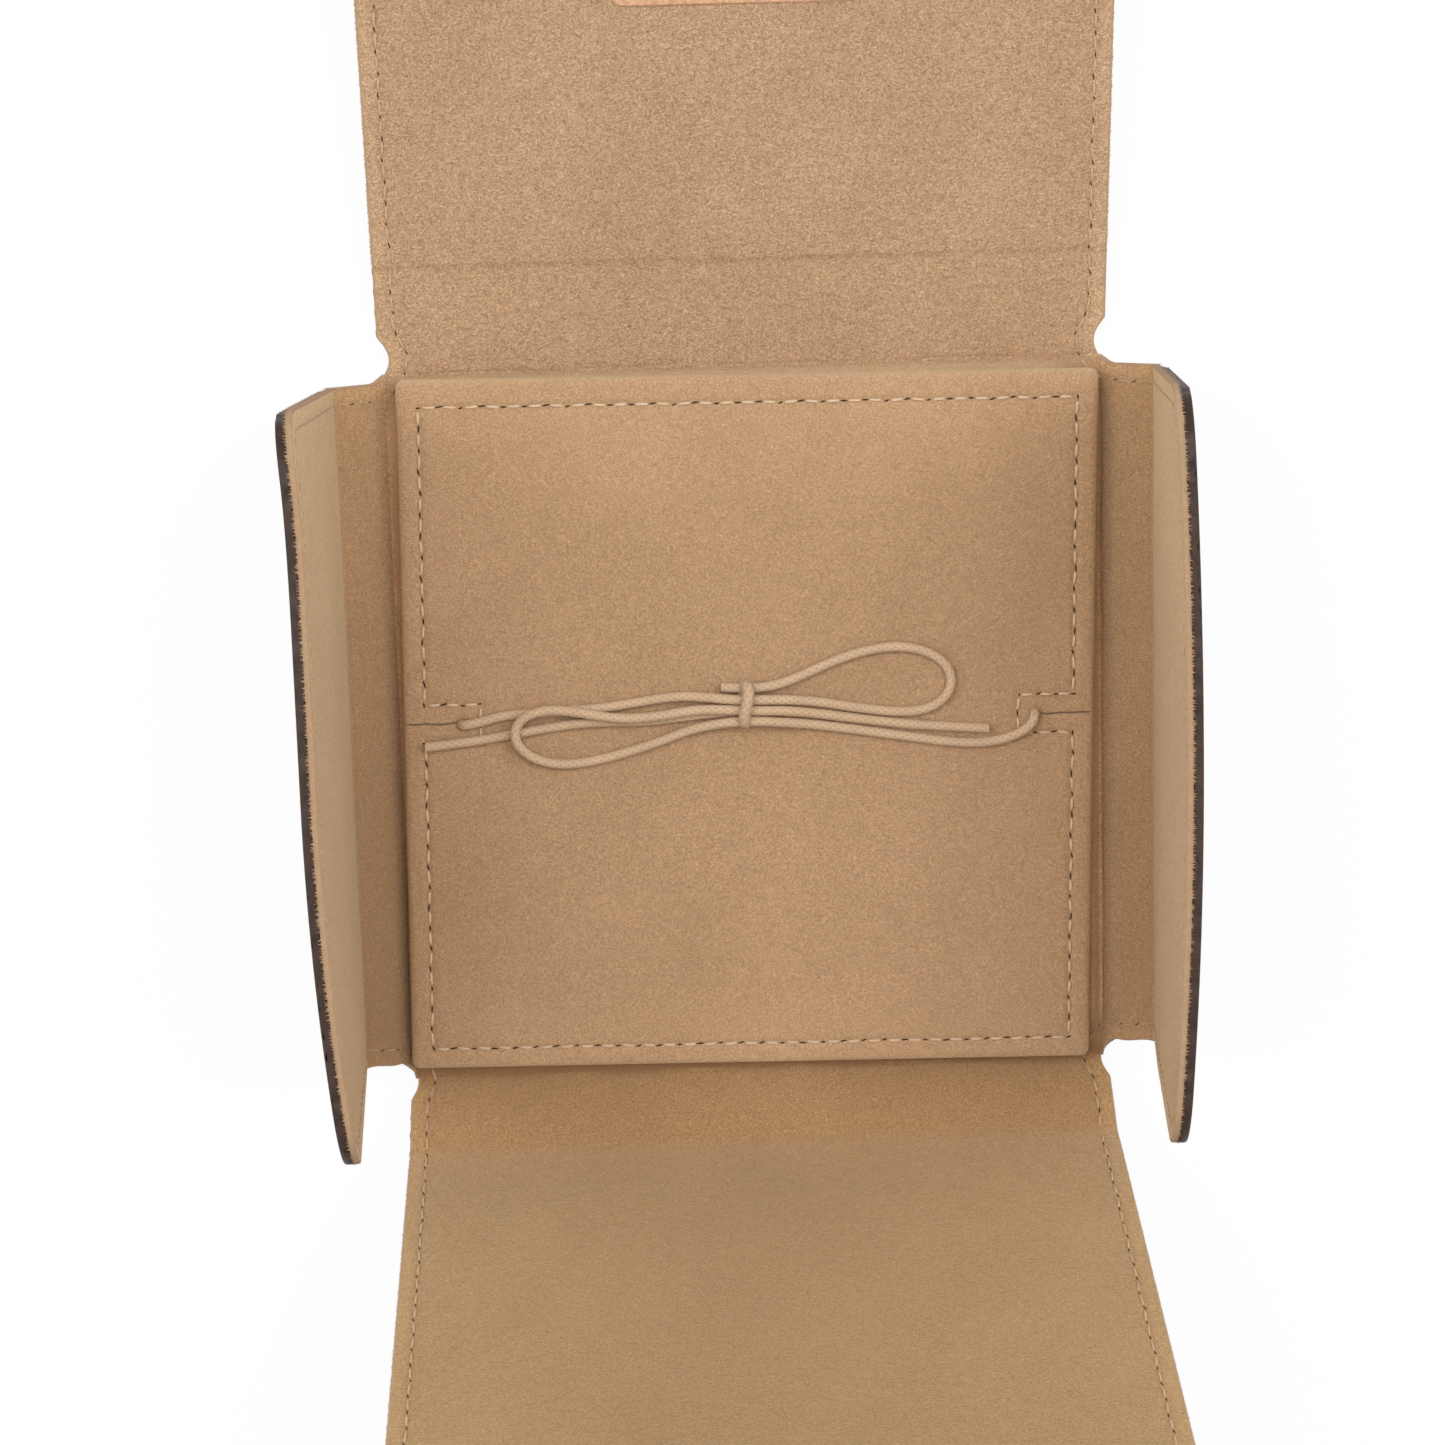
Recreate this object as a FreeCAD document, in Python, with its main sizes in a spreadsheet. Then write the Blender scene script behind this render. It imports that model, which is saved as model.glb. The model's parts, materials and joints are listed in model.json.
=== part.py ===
"""Folding leather jewellery case: a padded base, four fold-over sides and a cord tied in a bow.

Frame: millimetres, +Z up, origin in the middle of the base's underside. The lid side opens
towards +Y, the front side towards -Y. Every fold turns on the lining's upper surface, so the
stiff plates swing apart on the outside, where a strip of bare leather bends round the fold.
"""
import FreeCAD, Part
import Sketcher
import math
import os
from collections import namedtuple
from FreeCAD import Placement, Rotation, Vector

doc = FreeCAD.newDocument("jewellery_case")
sheet = doc.addObject("Spreadsheet::Sheet", "Sizes")

# Driving dimensions: alias, value, what it is
DIMENSIONS = [
    ("pad_width", 110.0, "raised pad, across the slits"),
    ("pad_length", 111.5, "raised pad, from lid to front"),
    ("pad_corner", 2.5, "round of the pad's corners in plan"),
    ("pad_margin", 1.5, "from the pad's edge to the fold line, if it were glued in true"),
    ("pad_turn", -0.6, "pad glued in askew by this turn, in degrees"),
    ("pad_shift_x", -0.6, "pad glued in off the middle, towards the right"),
    ("pad_shift_y", 0.2, "pad glued in off the middle, towards the lid"),
    ("pad_board", 1.0, "card under the foam"),
    ("pad_foam", 2.4, "foam under the cover"),
    ("cover_thick", 0.9, "suede cover of the pad"),
    ("cover_side", 1.5, "cover and turn-in at the pad's sides"),
    ("pad_crown", 0.8, "rise of the pad's middle above its border"),
    ("crown_reach", 27.5, "from the pad's edge to its level middle"),
    ("draw_in", 0.5, "how far the pad's sides pull in between the corners"),
    ("pad_tuck", 0.4, "how far the pad's sides draw in above and below their fullest height"),
    ("pad_roll", 1.2, "rolled upper edge of the pad, in plan"),
    ("seam_inset", 3.6, "sewn channel's middle, from the pad's edge"),
    ("seam_width", 0.8, "floor of the sewn channel"),
    ("seam_depth", 0.35, "depth of the sewn channel"),
    ("seam_slope", 0.5, "sloped sides of the sewn channel, in plan"),
    ("seam_fall", 0.05, "sewn channel's floor, deeper towards the pad's edge by this"),
    ("leather_skin", 0.7, "outer leather"),
    ("board_thick", 0.8, "stiffening board in the base, walls and flaps"),
    ("lining_thick", 0.9, "suede lining"),
    ("lining_inset", 0.2, "lining's edge behind the leather's edge"),
    ("turn_in", 3.0, "leather turned over the board's edge"),
    ("board_clearance", 0.15, "round each board in its recess"),
    ("edge_round", 0.5, "outer edge of the turned leather"),
    ("fold_relief", 0.8, "bare leather on each side of a fold line"),
    ("crease_gap", 0.15, "lining's edge to the fold line"),
    ("notch_radius", 3.6, "round notch at each corner"),
    ("notch_out", 3.2, "notch's middle, outside the side fold"),
    ("lid_notch", 2.6, "notch's middle, beyond the lid's fold"),
    ("front_notch", 1.0, "notch's middle, beyond the front's fold"),
    ("notch_blend", 1.6, "outer round between a notch and the lid's or front's side edge"),
    ("side_wall", 11.2, "depth of the left and right walls"),
    ("stack_gap", 0.3, "front flap over the side flaps when closed"),
    ("label_gap", 0.8, "lid flap over the front flap when closed"),
    ("side_gap", 1.6, "side walls and flaps stop short of the front notches by this"),
    ("lid_overhang", 0.9, "lid and front reach past the side folds by this"),
    ("side_flap", 56.0, "left and right flaps, from fold to free edge"),
    ("front_flap", 90.0, "front flap, from fold to free edge"),
    ("lid_flap", 95.0, "lid flap, from fold to free edge"),
    ("side_corner", 9.0, "free corners of the side flaps"),
    ("lid_corner", 9.0, "free corners of the lid and front flaps"),
    ("lid_wall_angle", 11.5, "lid wall above the base's plane, as it lies open"),
    ("lid_flap_angle", 1.0, "lid flap above its wall's plane"),
    ("front_wall_angle", 46.0, "front wall above the base's plane"),
    ("front_flap_angle", 24.0, "front flap above its wall's plane"),
    ("left_wall_angle", 51.5, "left wall above the base's plane"),
    ("left_flap_angle", 38.9, "left flap above its wall's plane"),
    ("right_wall_angle", 52.0, "right wall above the base's plane"),
    ("right_flap_angle", 43.0, "right flap above its wall's plane"),
    ("label_width", 38.0, "leather patch inside the lid"),
    ("label_length", 16.0, "leather patch, along the flap"),
    ("label_thick", 0.9, "leather patch"),
    ("label_seat", 0.5, "patch let into the lining"),
    ("label_corner", 2.0, "corners of the patch"),
    ("label_rise", 47.2, "patch's middle from the lid's outer fold"),
    ("label_clearance", 0.1, "round the patch in its seat"),
    ("magnet_diameter", 9.0, "flat magnet and its steel keeper"),
    ("magnet_setback", 14.0, "magnet's middle from the lid's free edge"),
    ("magnet_clearance", 0.1, "round the magnet in its board"),
    ("cord_diameter", 1.5, "waxed cotton cord"),
    ("cord_clearance", 0.15, "round the cord in the pad"),
    ("cord_inset", 7.0, "cord's way through the cover, from the pad's edge"),
    ("cord_offset", 1.0, "cord's way through the cover, from the middle towards the lid"),
    ("slit_width", 0.5, "slit that the cord is threaded through"),
    ("slit_edge", 1.0, "slit's outer end, from the pad's edge"),
    ("seam_detour", 12.2, "inner end of the seam round each slit, from the pad's edge"),
    ("seam_detour_width", 6.2, "seam round each slit, across it"),
]
for row, (alias, amount, note) in enumerate(DIMENSIONS, start=1):
    sheet.set(f"A{row}", alias)
    sheet.set(f"B{row}", str(amount))
    sheet.set(f"C{row}", note)
    sheet.setAlias(f"B{row}", alias)
doc.recompute()

# Sizes worked out from the driving dimensions, as expressions
SHELL = "(Sizes.leather_skin + Sizes.board_thick)"
PLATE = f"({SHELL} + Sizes.lining_thick)"
HALF_X = "(Sizes.pad_width / 2 + Sizes.pad_margin)"
HALF_Y = "(Sizes.pad_length / 2 + Sizes.pad_margin)"
FRONT_WALL = f"(Sizes.side_wall + {PLATE} + Sizes.stack_gap)"
LID_WALL = f"({FRONT_WALL} + {PLATE} + Sizes.label_gap)"
BROAD = f"(2 * {HALF_X} + 2 * Sizes.lid_overhang)"
BROAD_NECK = f"(2 * ({HALF_X} - Sizes.fold_relief))"
NOTCH_X = f"({HALF_X} + Sizes.notch_out)"
LID_END = f"({HALF_Y} + Sizes.lid_notch - Sizes.notch_radius)"
FRONT_END = f"({HALF_Y} + Sizes.front_notch - Sizes.notch_radius - Sizes.side_gap)"
NARROW = f"({LID_END} + {FRONT_END})"
SIDE_SHIFT = f"(({LID_END} - {FRONT_END}) / 2)"
MAGNET_RISE = "(Sizes.lid_flap - Sizes.magnet_setback)"
KEEPER_RISE = f"(2 * {HALF_Y} - {MAGNET_RISE})"
LINING_NOTCH = "(Sizes.notch_radius + Sizes.lining_inset)"
LINING_TOP = "0 * Sizes.lining_thick"
SHELL_TOP = "-Sizes.lining_thick"

# Each side of the case: how it is turned, its fold's distance from the middle, its width, how far
# its middle lies along the fold, the length of its inner fold's leather, how far its notches lie
# beyond that fold, its wall's depth, its flap's length, its free corners, the magnet's place
Side = namedtuple("Side", "turn reach width shift neck notch wall flap corner magnet")
NO_SHIFT = "0 * Sizes.side_gap"
BROAD_SIDE = (HALF_Y, BROAD, NO_SHIFT, BROAD_NECK)
LEFT_SIDE = (HALF_X, NARROW, SIDE_SHIFT, NARROW)
RIGHT_SIDE = (HALF_X, NARROW, f"-{SIDE_SHIFT}", NARROW)
LID_FORM = ("Sizes.lid_notch", LID_WALL, "Sizes.lid_flap", "Sizes.lid_corner", MAGNET_RISE)
FRONT_FORM = ("Sizes.front_notch", FRONT_WALL, "Sizes.front_flap", "Sizes.lid_corner", KEEPER_RISE)
SIDE_FORM = (None, "Sizes.side_wall", "Sizes.side_flap", "Sizes.side_corner", None)
SIDES = {
    "lid": Side(0, *BROAD_SIDE, *LID_FORM),
    "front": Side(180, *BROAD_SIDE, *FRONT_FORM),
    "left": Side(90, *LEFT_SIDE, *SIDE_FORM),
    "right": Side(-90, *RIGHT_SIDE, *SIDE_FORM),
}
NEAR = 1e-4
parts = []


def value(expression):
    """The number that an expression of the sheet's sizes gives now."""
    return float(sheet.evalExpression(expression))


def keep(thing, label, placement=Placement()):
    """Name a finished sub-part, put it in its place and list it for writing."""
    thing.Label = label
    thing.Placement = placement
    parts.append(thing)
    return thing


# Sketches and features of the flat plates

def top_sketch(body, name, height):
    """A sketch parallel to the XY plane at the given height."""
    sketch = body.newObject("Sketcher::SketchObject", name)
    plane = next(f for f in body.Origin.OriginFeatures if f.Role == "XY_Plane")
    sketch.AttachmentSupport = [(plane, "")]
    sketch.MapMode = "FlatFace"
    sketch.setExpression("AttachmentOffset.Base.z", height)
    return sketch


def bind(sketch, kind, name, expression, *points):
    """Add a driving constraint whose value is an expression."""
    index = sketch.addConstraint(Sketcher.Constraint(kind, *points, value(expression)))
    sketch.renameConstraint(index, name)
    sketch.setExpression(f"Constraints.{name}", expression)


def rectangle(sketch, width, low, high):
    """A rectangle symmetric about the Y axis, from low to high, or about the origin if low is None."""
    half, top = value(width) / 2, value(high)
    bottom = -top if low is None else value(low)
    corners = [Vector(-half, bottom), Vector(half, bottom), Vector(half, top), Vector(-half, top)]
    for i in range(4):
        sketch.addGeometry(Part.LineSegment(corners[i], corners[(i + 1) % 4]))
    for i in range(4):
        sketch.addConstraint(Sketcher.Constraint("Coincident", i, 2, (i + 1) % 4, 1))
    for i, level in ((1, "Vertical"), (2, "Horizontal"), (3, "Vertical")):
        sketch.addConstraint(Sketcher.Constraint(level, i))
    bind(sketch, "DistanceX", "width", width, 0, 1, 0, 2)
    bind(sketch, "DistanceY", "high", high, -1, 1, 2, 1)
    if low is None:
        sketch.addConstraint(Sketcher.Constraint("Horizontal", 0))
        sketch.addConstraint(Sketcher.Constraint("Symmetric", 0, 1, 2, 1, -1, 1))
    else:
        sketch.addConstraint(Sketcher.Constraint("Symmetric", 0, 1, 0, 2, -2))
        bind(sketch, "DistanceY", "low", low, -1, 1, 0, 1)


def notch_circles(sketch, radius, up):
    """A pair of equal circles mirrored about the Y axis, at the given distance from the fold."""
    x, y, r = value(NOTCH_X), value(up), value(radius)
    for across in (x, -x):
        sketch.addGeometry(Part.Circle(Vector(across, y), Vector(0, 0, 1), r))
    sketch.addConstraint(Sketcher.Constraint("Equal", 0, 1))
    bind(sketch, "Radius", "radius", radius, 0)
    bind(sketch, "DistanceX", "across", NOTCH_X, -1, 1, 0, 3)
    bind(sketch, "DistanceY", "up", up, -1, 1, 0, 3)
    sketch.addConstraint(Sketcher.Constraint("Symmetric", 0, 3, 1, 3, -2))


def pad_down(body, sketch, depth):
    """Extrude a sketch downwards."""
    pad = body.newObject("PartDesign::Pad", f"{sketch.Name}_pad")
    pad.Profile = sketch
    pad.Reversed = True
    pad.setExpression("Length", depth)
    doc.recompute()
    return pad


def pocket_down(body, sketch, depth):
    """Cut a sketch downwards out of the body, and make sure that it cut something."""
    before = body.Shape.Volume
    pocket = body.newObject("PartDesign::Pocket", f"{sketch.Name}_pocket")
    pocket.Profile = sketch
    pocket.setExpression("Length", depth)
    doc.recompute()
    if body.Shape.Volume >= before - NEAR:
        raise RuntimeError(f"{sketch.Name} cut nothing")
    return pocket


def round_edges(body, name, radius, wanted):
    """Round the edges of the body's last feature that the given test picks."""
    tip = body.Tip
    edges = [f"Edge{i + 1}" for i, edge in enumerate(tip.Shape.Edges) if wanted(edge)]
    if not edges:
        raise RuntimeError(f"{name} has no edge to round")
    fillet = body.newObject("PartDesign::Fillet", f"{body.Name}_{name}")
    fillet.Base = (tip, edges)
    fillet.setExpression("Radius", radius)
    doc.recompute()
    return fillet


def upright_at(up):
    """A test for upright edges on both sides, at the given distance from the fold."""
    def wanted(edge):
        ends = [v.Point for v in edge.Vertexes]
        upright = len(ends) == 2 and ends[0].sub(Vector(ends[1].x, ends[1].y, ends[0].z)).Length < NEAR
        return upright and abs(ends[0].y - up) < NEAR
    return wanted


def outline_below(body, folds):
    """A test for the edges of the lower face, apart from those along the folds at the given distances."""
    floor = body.Shape.BoundBox.ZMin

    def wanted(edge):
        box = edge.BoundBox
        along_fold = any(abs(box.YMin - at) < NEAR and abs(box.YMax - at) < NEAR for at in folds)
        return box.ZMax < floor + NEAR and not along_fold
    return wanted


def cut_notches(body, name, height, depth, radius, up, width):
    """Cut a wall's two corner notches and round their outer ends into the side edges."""
    sketch = top_sketch(body, f"{name}_notches", height)
    notch_circles(sketch, radius, up)
    pocket_down(body, sketch, depth)
    beside = value(NOTCH_X) - value(width) / 2
    outer_end = value(up) + math.sqrt(value(radius) ** 2 - beside ** 2)
    round_edges(body, "blend", "Sizes.notch_blend", upright_at(outer_end))


def plate_body(name):
    """An empty body for one plate."""
    body = doc.addObject("PartDesign::Body", name)
    doc.recompute()
    return body


# The three layers of a plate; low and high are distances from its inner fold line, and
# low is None on the base, which has folds all round

def shell_layer(name, width, low, high, board_size, notch=None, corner=None, folds=()):
    """Outer leather, turned in round a recess for the board."""
    body = plate_body(name)
    outline = top_sketch(body, f"{name}_outline", SHELL_TOP)
    rectangle(outline, width, low, high)
    pad_down(body, outline, SHELL)
    if notch:
        cut_notches(body, name, SHELL_TOP, SHELL, "Sizes.notch_radius", notch, width)
    if corner:
        round_edges(body, "corners", corner, upright_at(value(high)))
    if folds:
        round_edges(body, "turned_edge", "Sizes.edge_round", outline_below(body, folds))
    recess = top_sketch(body, f"{name}_recess", SHELL_TOP)
    board_width, board_low, board_high = board_size
    rectangle(recess, board_width, board_low, board_high)
    pocket_down(body, recess, "Sizes.board_thick")
    return body


def board_layer(name, board_size, hole=None):
    """Stiffening board, loose in the leather's recess by the board clearance."""
    width, low, high = board_size
    body = plate_body(name)
    outline = top_sketch(body, f"{name}_outline", SHELL_TOP)
    rectangle(
        outline,
        f"{width} - 2 * Sizes.board_clearance",
        None if low is None else f"{low} + Sizes.board_clearance",
        f"{high} - Sizes.board_clearance",
    )
    pad_down(body, outline, "Sizes.board_thick")
    if hole:
        bore = top_sketch(body, f"{name}_bore", SHELL_TOP)
        radius = "(Sizes.magnet_diameter / 2 + Sizes.magnet_clearance)"
        bore.addGeometry(Part.Circle(Vector(0, value(hole)), Vector(0, 0, 1), value(radius)))
        bind(bore, "Radius", "radius", radius, 0)
        bore.addConstraint(Sketcher.Constraint("PointOnObject", 0, 3, -2))
        bind(bore, "DistanceY", "rise", hole, -1, 1, 0, 3)
        pocket_down(body, bore, "Sizes.board_thick")
    return body


def lining_layer(name, width, low, high, notch=None, corner=None, seat=None):
    """Suede lining on the inside of a plate."""
    body = plate_body(name)
    outline = top_sketch(body, f"{name}_outline", LINING_TOP)
    rectangle(outline, width, low, high)
    pad_down(body, outline, "Sizes.lining_thick")
    if notch:
        cut_notches(body, name, LINING_TOP, "Sizes.lining_thick", LINING_NOTCH, notch, width)
    if corner:
        round_edges(body, "corners", f"{corner} - Sizes.lining_inset", upright_at(value(high)))
    if seat:
        recess = top_sketch(body, f"{name}_seat", LINING_TOP)
        rectangle(recess, *seat)
        pocket_down(body, recess, "Sizes.label_seat")
    return body


# Places of the plates: the base first, then each wall and flap in its opened position

BASE_PLACE = Placement(Vector(0, 0, value(PLATE)), Rotation())


def tilt(degrees):
    """A turn about the fold line, positive as the case closes."""
    return Placement(Vector(), Rotation(Vector(1, 0, 0), degrees))


def fold_place(side):
    """Frame of a side's inner fold: X along the fold, Y outwards, Z up."""
    turn = Rotation(Vector(0, 0, 1), side.turn)
    start = turn.multVec(Vector(value(side.shift), value(side.reach), 0))
    return BASE_PLACE * Placement(start, turn)


def wall_place(name, side):
    return fold_place(side) * tilt(value(f"Sizes.{name}_wall_angle"))


def outer_fold_place(name, side):
    return wall_place(name, side) * Placement(Vector(0, value(side.wall), 0), Rotation())


def flap_place(name, side):
    return outer_fold_place(name, side) * tilt(value(f"Sizes.{name}_flap_angle"))


# Base

def build_base():
    board = (
        f"2 * ({HALF_X} - Sizes.fold_relief - Sizes.turn_in)",
        None,
        f"{HALF_Y} - Sizes.fold_relief - Sizes.turn_in",
    )
    shell = shell_layer(
        "base_shell", f"2 * ({HALF_X} - Sizes.fold_relief)", None, f"{HALF_Y} - Sizes.fold_relief", board,
    )
    lining = lining_layer(
        "base_lining", f"2 * ({HALF_X} - Sizes.crease_gap)", None, f"{HALF_Y} - Sizes.crease_gap",
    )
    keep(shell, "base_shell", BASE_PLACE)
    keep(board_layer("base_board", board), "base_board", BASE_PLACE)
    keep(lining, "base_lining", BASE_PLACE)


# Walls and flaps

def build_wall(name, side):
    place = wall_place(name, side)
    low, high = "Sizes.fold_relief", f"{side.wall} - Sizes.fold_relief"
    board = (
        f"{side.neck} - 2 * Sizes.turn_in",
        f"{low} + Sizes.turn_in / 2",
        f"{high} - Sizes.turn_in / 2",
    )
    folds = [value(low), value(high)]
    shell = shell_layer(
        f"{name}_wall_shell", side.width, low, high, board, notch=side.notch, folds=folds,
    )
    lining = lining_layer(
        f"{name}_wall_lining", f"{side.width} - 2 * Sizes.lining_inset",
        "Sizes.crease_gap", f"{side.wall} - Sizes.crease_gap", notch=side.notch,
    )
    keep(shell, f"{name}_wall_shell", place)
    keep(board_layer(f"{name}_wall_board", board), f"{name}_wall_board", place)
    keep(lining, f"{name}_wall_lining", place)


def build_flap(name, side):
    place = flap_place(name, side)
    low, high = "Sizes.fold_relief", side.flap
    board = (
        f"{side.width} - 2 * Sizes.turn_in",
        f"{low} + Sizes.turn_in / 2",
        f"{high} - Sizes.turn_in",
    )
    label_seat = (
        "Sizes.label_width + 2 * Sizes.label_clearance",
        "Sizes.label_rise - Sizes.label_length / 2 - Sizes.label_clearance",
        "Sizes.label_rise + Sizes.label_length / 2 + Sizes.label_clearance",
    )
    shell = shell_layer(
        f"{name}_flap_shell", side.width, low, high, board, corner=side.corner, folds=[value(low)],
    )
    lining = lining_layer(
        f"{name}_flap_lining", f"{side.width} - 2 * Sizes.lining_inset",
        "Sizes.crease_gap", f"{high} - Sizes.lining_inset",
        corner=side.corner, seat=label_seat if name == "lid" else None,
    )
    keep(shell, f"{name}_flap_shell", place)
    keep(board_layer(f"{name}_flap_board", board, hole=side.magnet), f"{name}_flap_board", place)
    keep(lining, f"{name}_flap_lining", place)


def box(name, size, corner):
    """A box with bound sizes; each entry is an expression."""
    thing = doc.addObject("Part::Box", name)
    for field, expression in zip(("Length", "Width", "Height"), size):
        thing.setExpression(field, expression)
    for axis, expression in zip("xyz", corner):
        thing.setExpression(f"Placement.Base.{axis}", expression)
    return thing


def build_fold(label, place, length, angle):
    """The bare leather that bends round one fold: a short flat, an arc about the fold line, a flat."""
    sector = Rotation(Vector(0, 0, -1), Vector(0, 1, 0), Vector(1, 0, 0), "XYZ")
    rounds = []
    for part_name, radius in (("outside", PLATE), ("inside", "Sizes.lining_thick")):
        bend = doc.addObject("Part::Cylinder", f"{label}_{part_name}")
        bend.setExpression("Radius", radius)
        bend.setExpression("Height", length)
        bend.setExpression("Angle", angle)
        bend.Placement = Placement(Vector(-value(length) / 2, 0, 0), sector)
        rounds.append(bend)
    arc = doc.addObject("Part::Cut", f"{label}_arc")
    arc.Base, arc.Tool = rounds
    flat_size = (length, "Sizes.fold_relief", SHELL)
    inner = box(f"{label}_inner_flat", flat_size, (f"-{length} / 2", "-Sizes.fold_relief", f"-{PLATE}"))
    outer = box(f"{label}_outer_flat", flat_size, ())
    outer.Placement = tilt(value(angle)) * Placement(Vector(-value(length) / 2, 0, -value(PLATE)), Rotation())
    strip = doc.addObject("Part::MultiFuse", label)
    strip.Shapes = [arc, inner, outer]
    strip.Refine = True
    keep(strip, label, place)


def build_side(name, side):
    build_wall(name, side)
    build_flap(name, side)
    build_fold(f"{name}_wall_fold", fold_place(side), side.neck, f"Sizes.{name}_wall_angle")
    build_fold(f"{name}_flap_fold", outer_fold_place(name, side), side.width, f"Sizes.{name}_flap_angle")


# Label patch and hidden closure

def build_label():
    body = plate_body("label_patch")
    proud = "(Sizes.label_thick - Sizes.label_seat)"
    outline = top_sketch(body, "label_outline", proud)
    low = "Sizes.label_rise - Sizes.label_length / 2"
    high = "Sizes.label_rise + Sizes.label_length / 2"
    rectangle(outline, "Sizes.label_width", low, high)
    pad_down(body, outline, "Sizes.label_thick")

    def corner(edge):
        return upright_at(value(low))(edge) or upright_at(value(high))(edge)

    round_edges(body, "corners", "Sizes.label_corner", corner)
    keep(body, "label_patch", flap_place("lid", SIDES["lid"]))


def build_disc(label, side_name):
    """A flat round piece in the bore of a flap's board."""
    side = SIDES[side_name]
    disc = doc.addObject("Part::Cylinder", label)
    disc.setExpression("Radius", "Sizes.magnet_diameter / 2")
    disc.setExpression("Height", "Sizes.board_thick")
    seat = Vector(0, value(side.magnet), -value("Sizes.lining_thick + Sizes.board_thick"))
    keep(disc, label, flap_place(side_name, side) * Placement(seat, Rotation()))


# Pad: card, foam and a crowned suede cover with a sewn channel

PAD_FLOOR = value(PLATE)
FILLING = "(Sizes.pad_board + Sizes.pad_foam)"
BORDER = f"({FILLING} + Sizes.cover_thick)"
PAD_MIDDLE = Vector(value("Sizes.pad_shift_x"), value("Sizes.pad_shift_y"), PAD_FLOOR)
PAD_PLACE = Placement(PAD_MIDDLE, Rotation(Vector(0, 0, 1), value("Sizes.pad_turn")))
CORD_BORE = "(Sizes.cord_diameter + 2 * Sizes.cord_clearance)"
# Shares of the border's height where the pad's side is fullest and where it starts to roll over
FULLEST, SHOULDER = 0.4, 0.8


def pad_ring(inset, height):
    """One section of the pad: a round-cornered rectangle whose sides pull in between the corners."""
    half_x = value("Sizes.pad_width") / 2 - inset
    half_y = value("Sizes.pad_length") / 2 - inset
    radius = value("Sizes.pad_corner")
    pull = value("Sizes.draw_in")
    bend = radius * (1 - math.sqrt(0.5))
    edges = []
    for turn in range(4):
        across, along = (half_x, half_y) if turn % 2 == 0 else (half_y, half_x)
        spin = Rotation(Vector(0, 0, 1), 90 * turn)

        def at(x, y):
            return spin.multVec(Vector(x, y, 0)) + Vector(0, 0, height)

        side = [at(across, radius - along), at(across - pull, 0), at(across, along - radius)]
        corner = [side[2], at(across - bend, along - bend), at(across - radius, along)]
        edges.append(Part.Arc(*side).toShape())
        edges.append(Part.Arc(*corner).toShape())
    return Part.Wire(edges)


def crown_profile():
    """The pad's half section from the sewn channel to its middle: distance from the edge, height."""
    border, crown = value(BORDER), value("Sizes.pad_crown")
    start = value("Sizes.seam_inset + Sizes.seam_width / 2 + Sizes.seam_slope")
    shelf, crest = value("Sizes.seam_inset + 2 * Sizes.pad_roll"), value("Sizes.crown_reach")
    return [
        (start, border),
        (shelf, border + crown / 4),
        ((shelf + crest) / 2, border + crown * 3 / 4),
        (crest, border + crown),
    ]


def pad_profile():
    """The whole half section, from the pad's foot to its level middle."""
    border = value(BORDER)
    tuck, roll = value("Sizes.pad_tuck"), value("Sizes.pad_roll")
    seam, half_seam = value("Sizes.seam_inset"), value("Sizes.seam_width") / 2
    slope, channel = value("Sizes.seam_slope"), border - value("Sizes.seam_depth")
    foot = [
        (tuck, 0.0),
        (0.0, FULLEST * border),
        (tuck, SHOULDER * border),
        (roll, border - value("Sizes.cover_thick") / 4),
        (seam - half_seam - slope, border),
        (seam - half_seam, channel),
        (seam + half_seam, channel + value("Sizes.seam_fall")),
    ]
    return foot + crown_profile()


def build_pad():
    form = doc.addObject("Part::Feature", "pad_form")
    form.Shape = Part.makeLoft([pad_ring(*section) for section in pad_profile()], True, True)
    inside = ("Sizes.pad_width - 2 * Sizes.cover_side", "Sizes.pad_length - 2 * Sizes.cover_side")
    corner = ("Sizes.cover_side - Sizes.pad_width / 2", "Sizes.cover_side - Sizes.pad_length / 2")
    hollow = box("pad_hollow", (*inside, FILLING), (*corner, "0 * Sizes.pad_board"))
    cuts = [hollow] + slit_cuts() + seam_detours()
    tools = doc.addObject("Part::MultiFuse", "pad_cuts")
    tools.Shapes = cuts
    cover = doc.addObject("Part::Cut", "pad_cover")
    cover.Base, cover.Tool = form, tools
    keep(cover, "pad_cover", PAD_PLACE)

    slack = "Sizes.board_clearance"
    fill = tuple(f"{size} - 2 * {slack}" for size in inside)
    fill_corner = tuple(f"{at} + {slack}" for at in corner)
    card = plate_body("pad_board")
    outline = top_sketch(card, "pad_board_outline", "Sizes.pad_board")
    rectangle(outline, fill[0], None, f"({fill[1]}) / 2")
    pad_down(card, outline, "Sizes.pad_board")
    keep(card, "pad_board", PAD_PLACE)
    foam = box("foam_block", (*fill, "Sizes.pad_foam"), (*fill_corner, "Sizes.pad_board"))
    channels = doc.addObject("Part::MultiFuse", "foam_channels")
    channels.Shapes = foam_cuts()
    padding = doc.addObject("Part::Cut", "pad_foam")
    padding.Base, padding.Tool = foam, channels
    keep(padding, "pad_foam", PAD_PLACE)


def cord_side(low, high, sign):
    """A box's corner along X for a span measured from the pad's edge, on either side."""
    return f"Sizes.pad_width / 2 - {high}" if sign > 0 else f"{low} - Sizes.pad_width / 2"


def cord_cut(name, sign, low, high, width, floor, top):
    """A cut along the cord, between two distances from the pad's edge."""
    size = (f"{high} - ({low})", width, f"{top} - ({floor})")
    return box(name, size, (cord_side(low, high, sign), f"Sizes.cord_offset - {width} / 2", floor))


WAY_OUT = "(Sizes.cord_inset - Sizes.cord_diameter / 2 - Sizes.cord_clearance)"
WAY_IN = f"({WAY_OUT} + 2 * Sizes.cord_diameter)"
ABOVE = f"({BORDER} + 2 * Sizes.pad_crown)"


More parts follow.
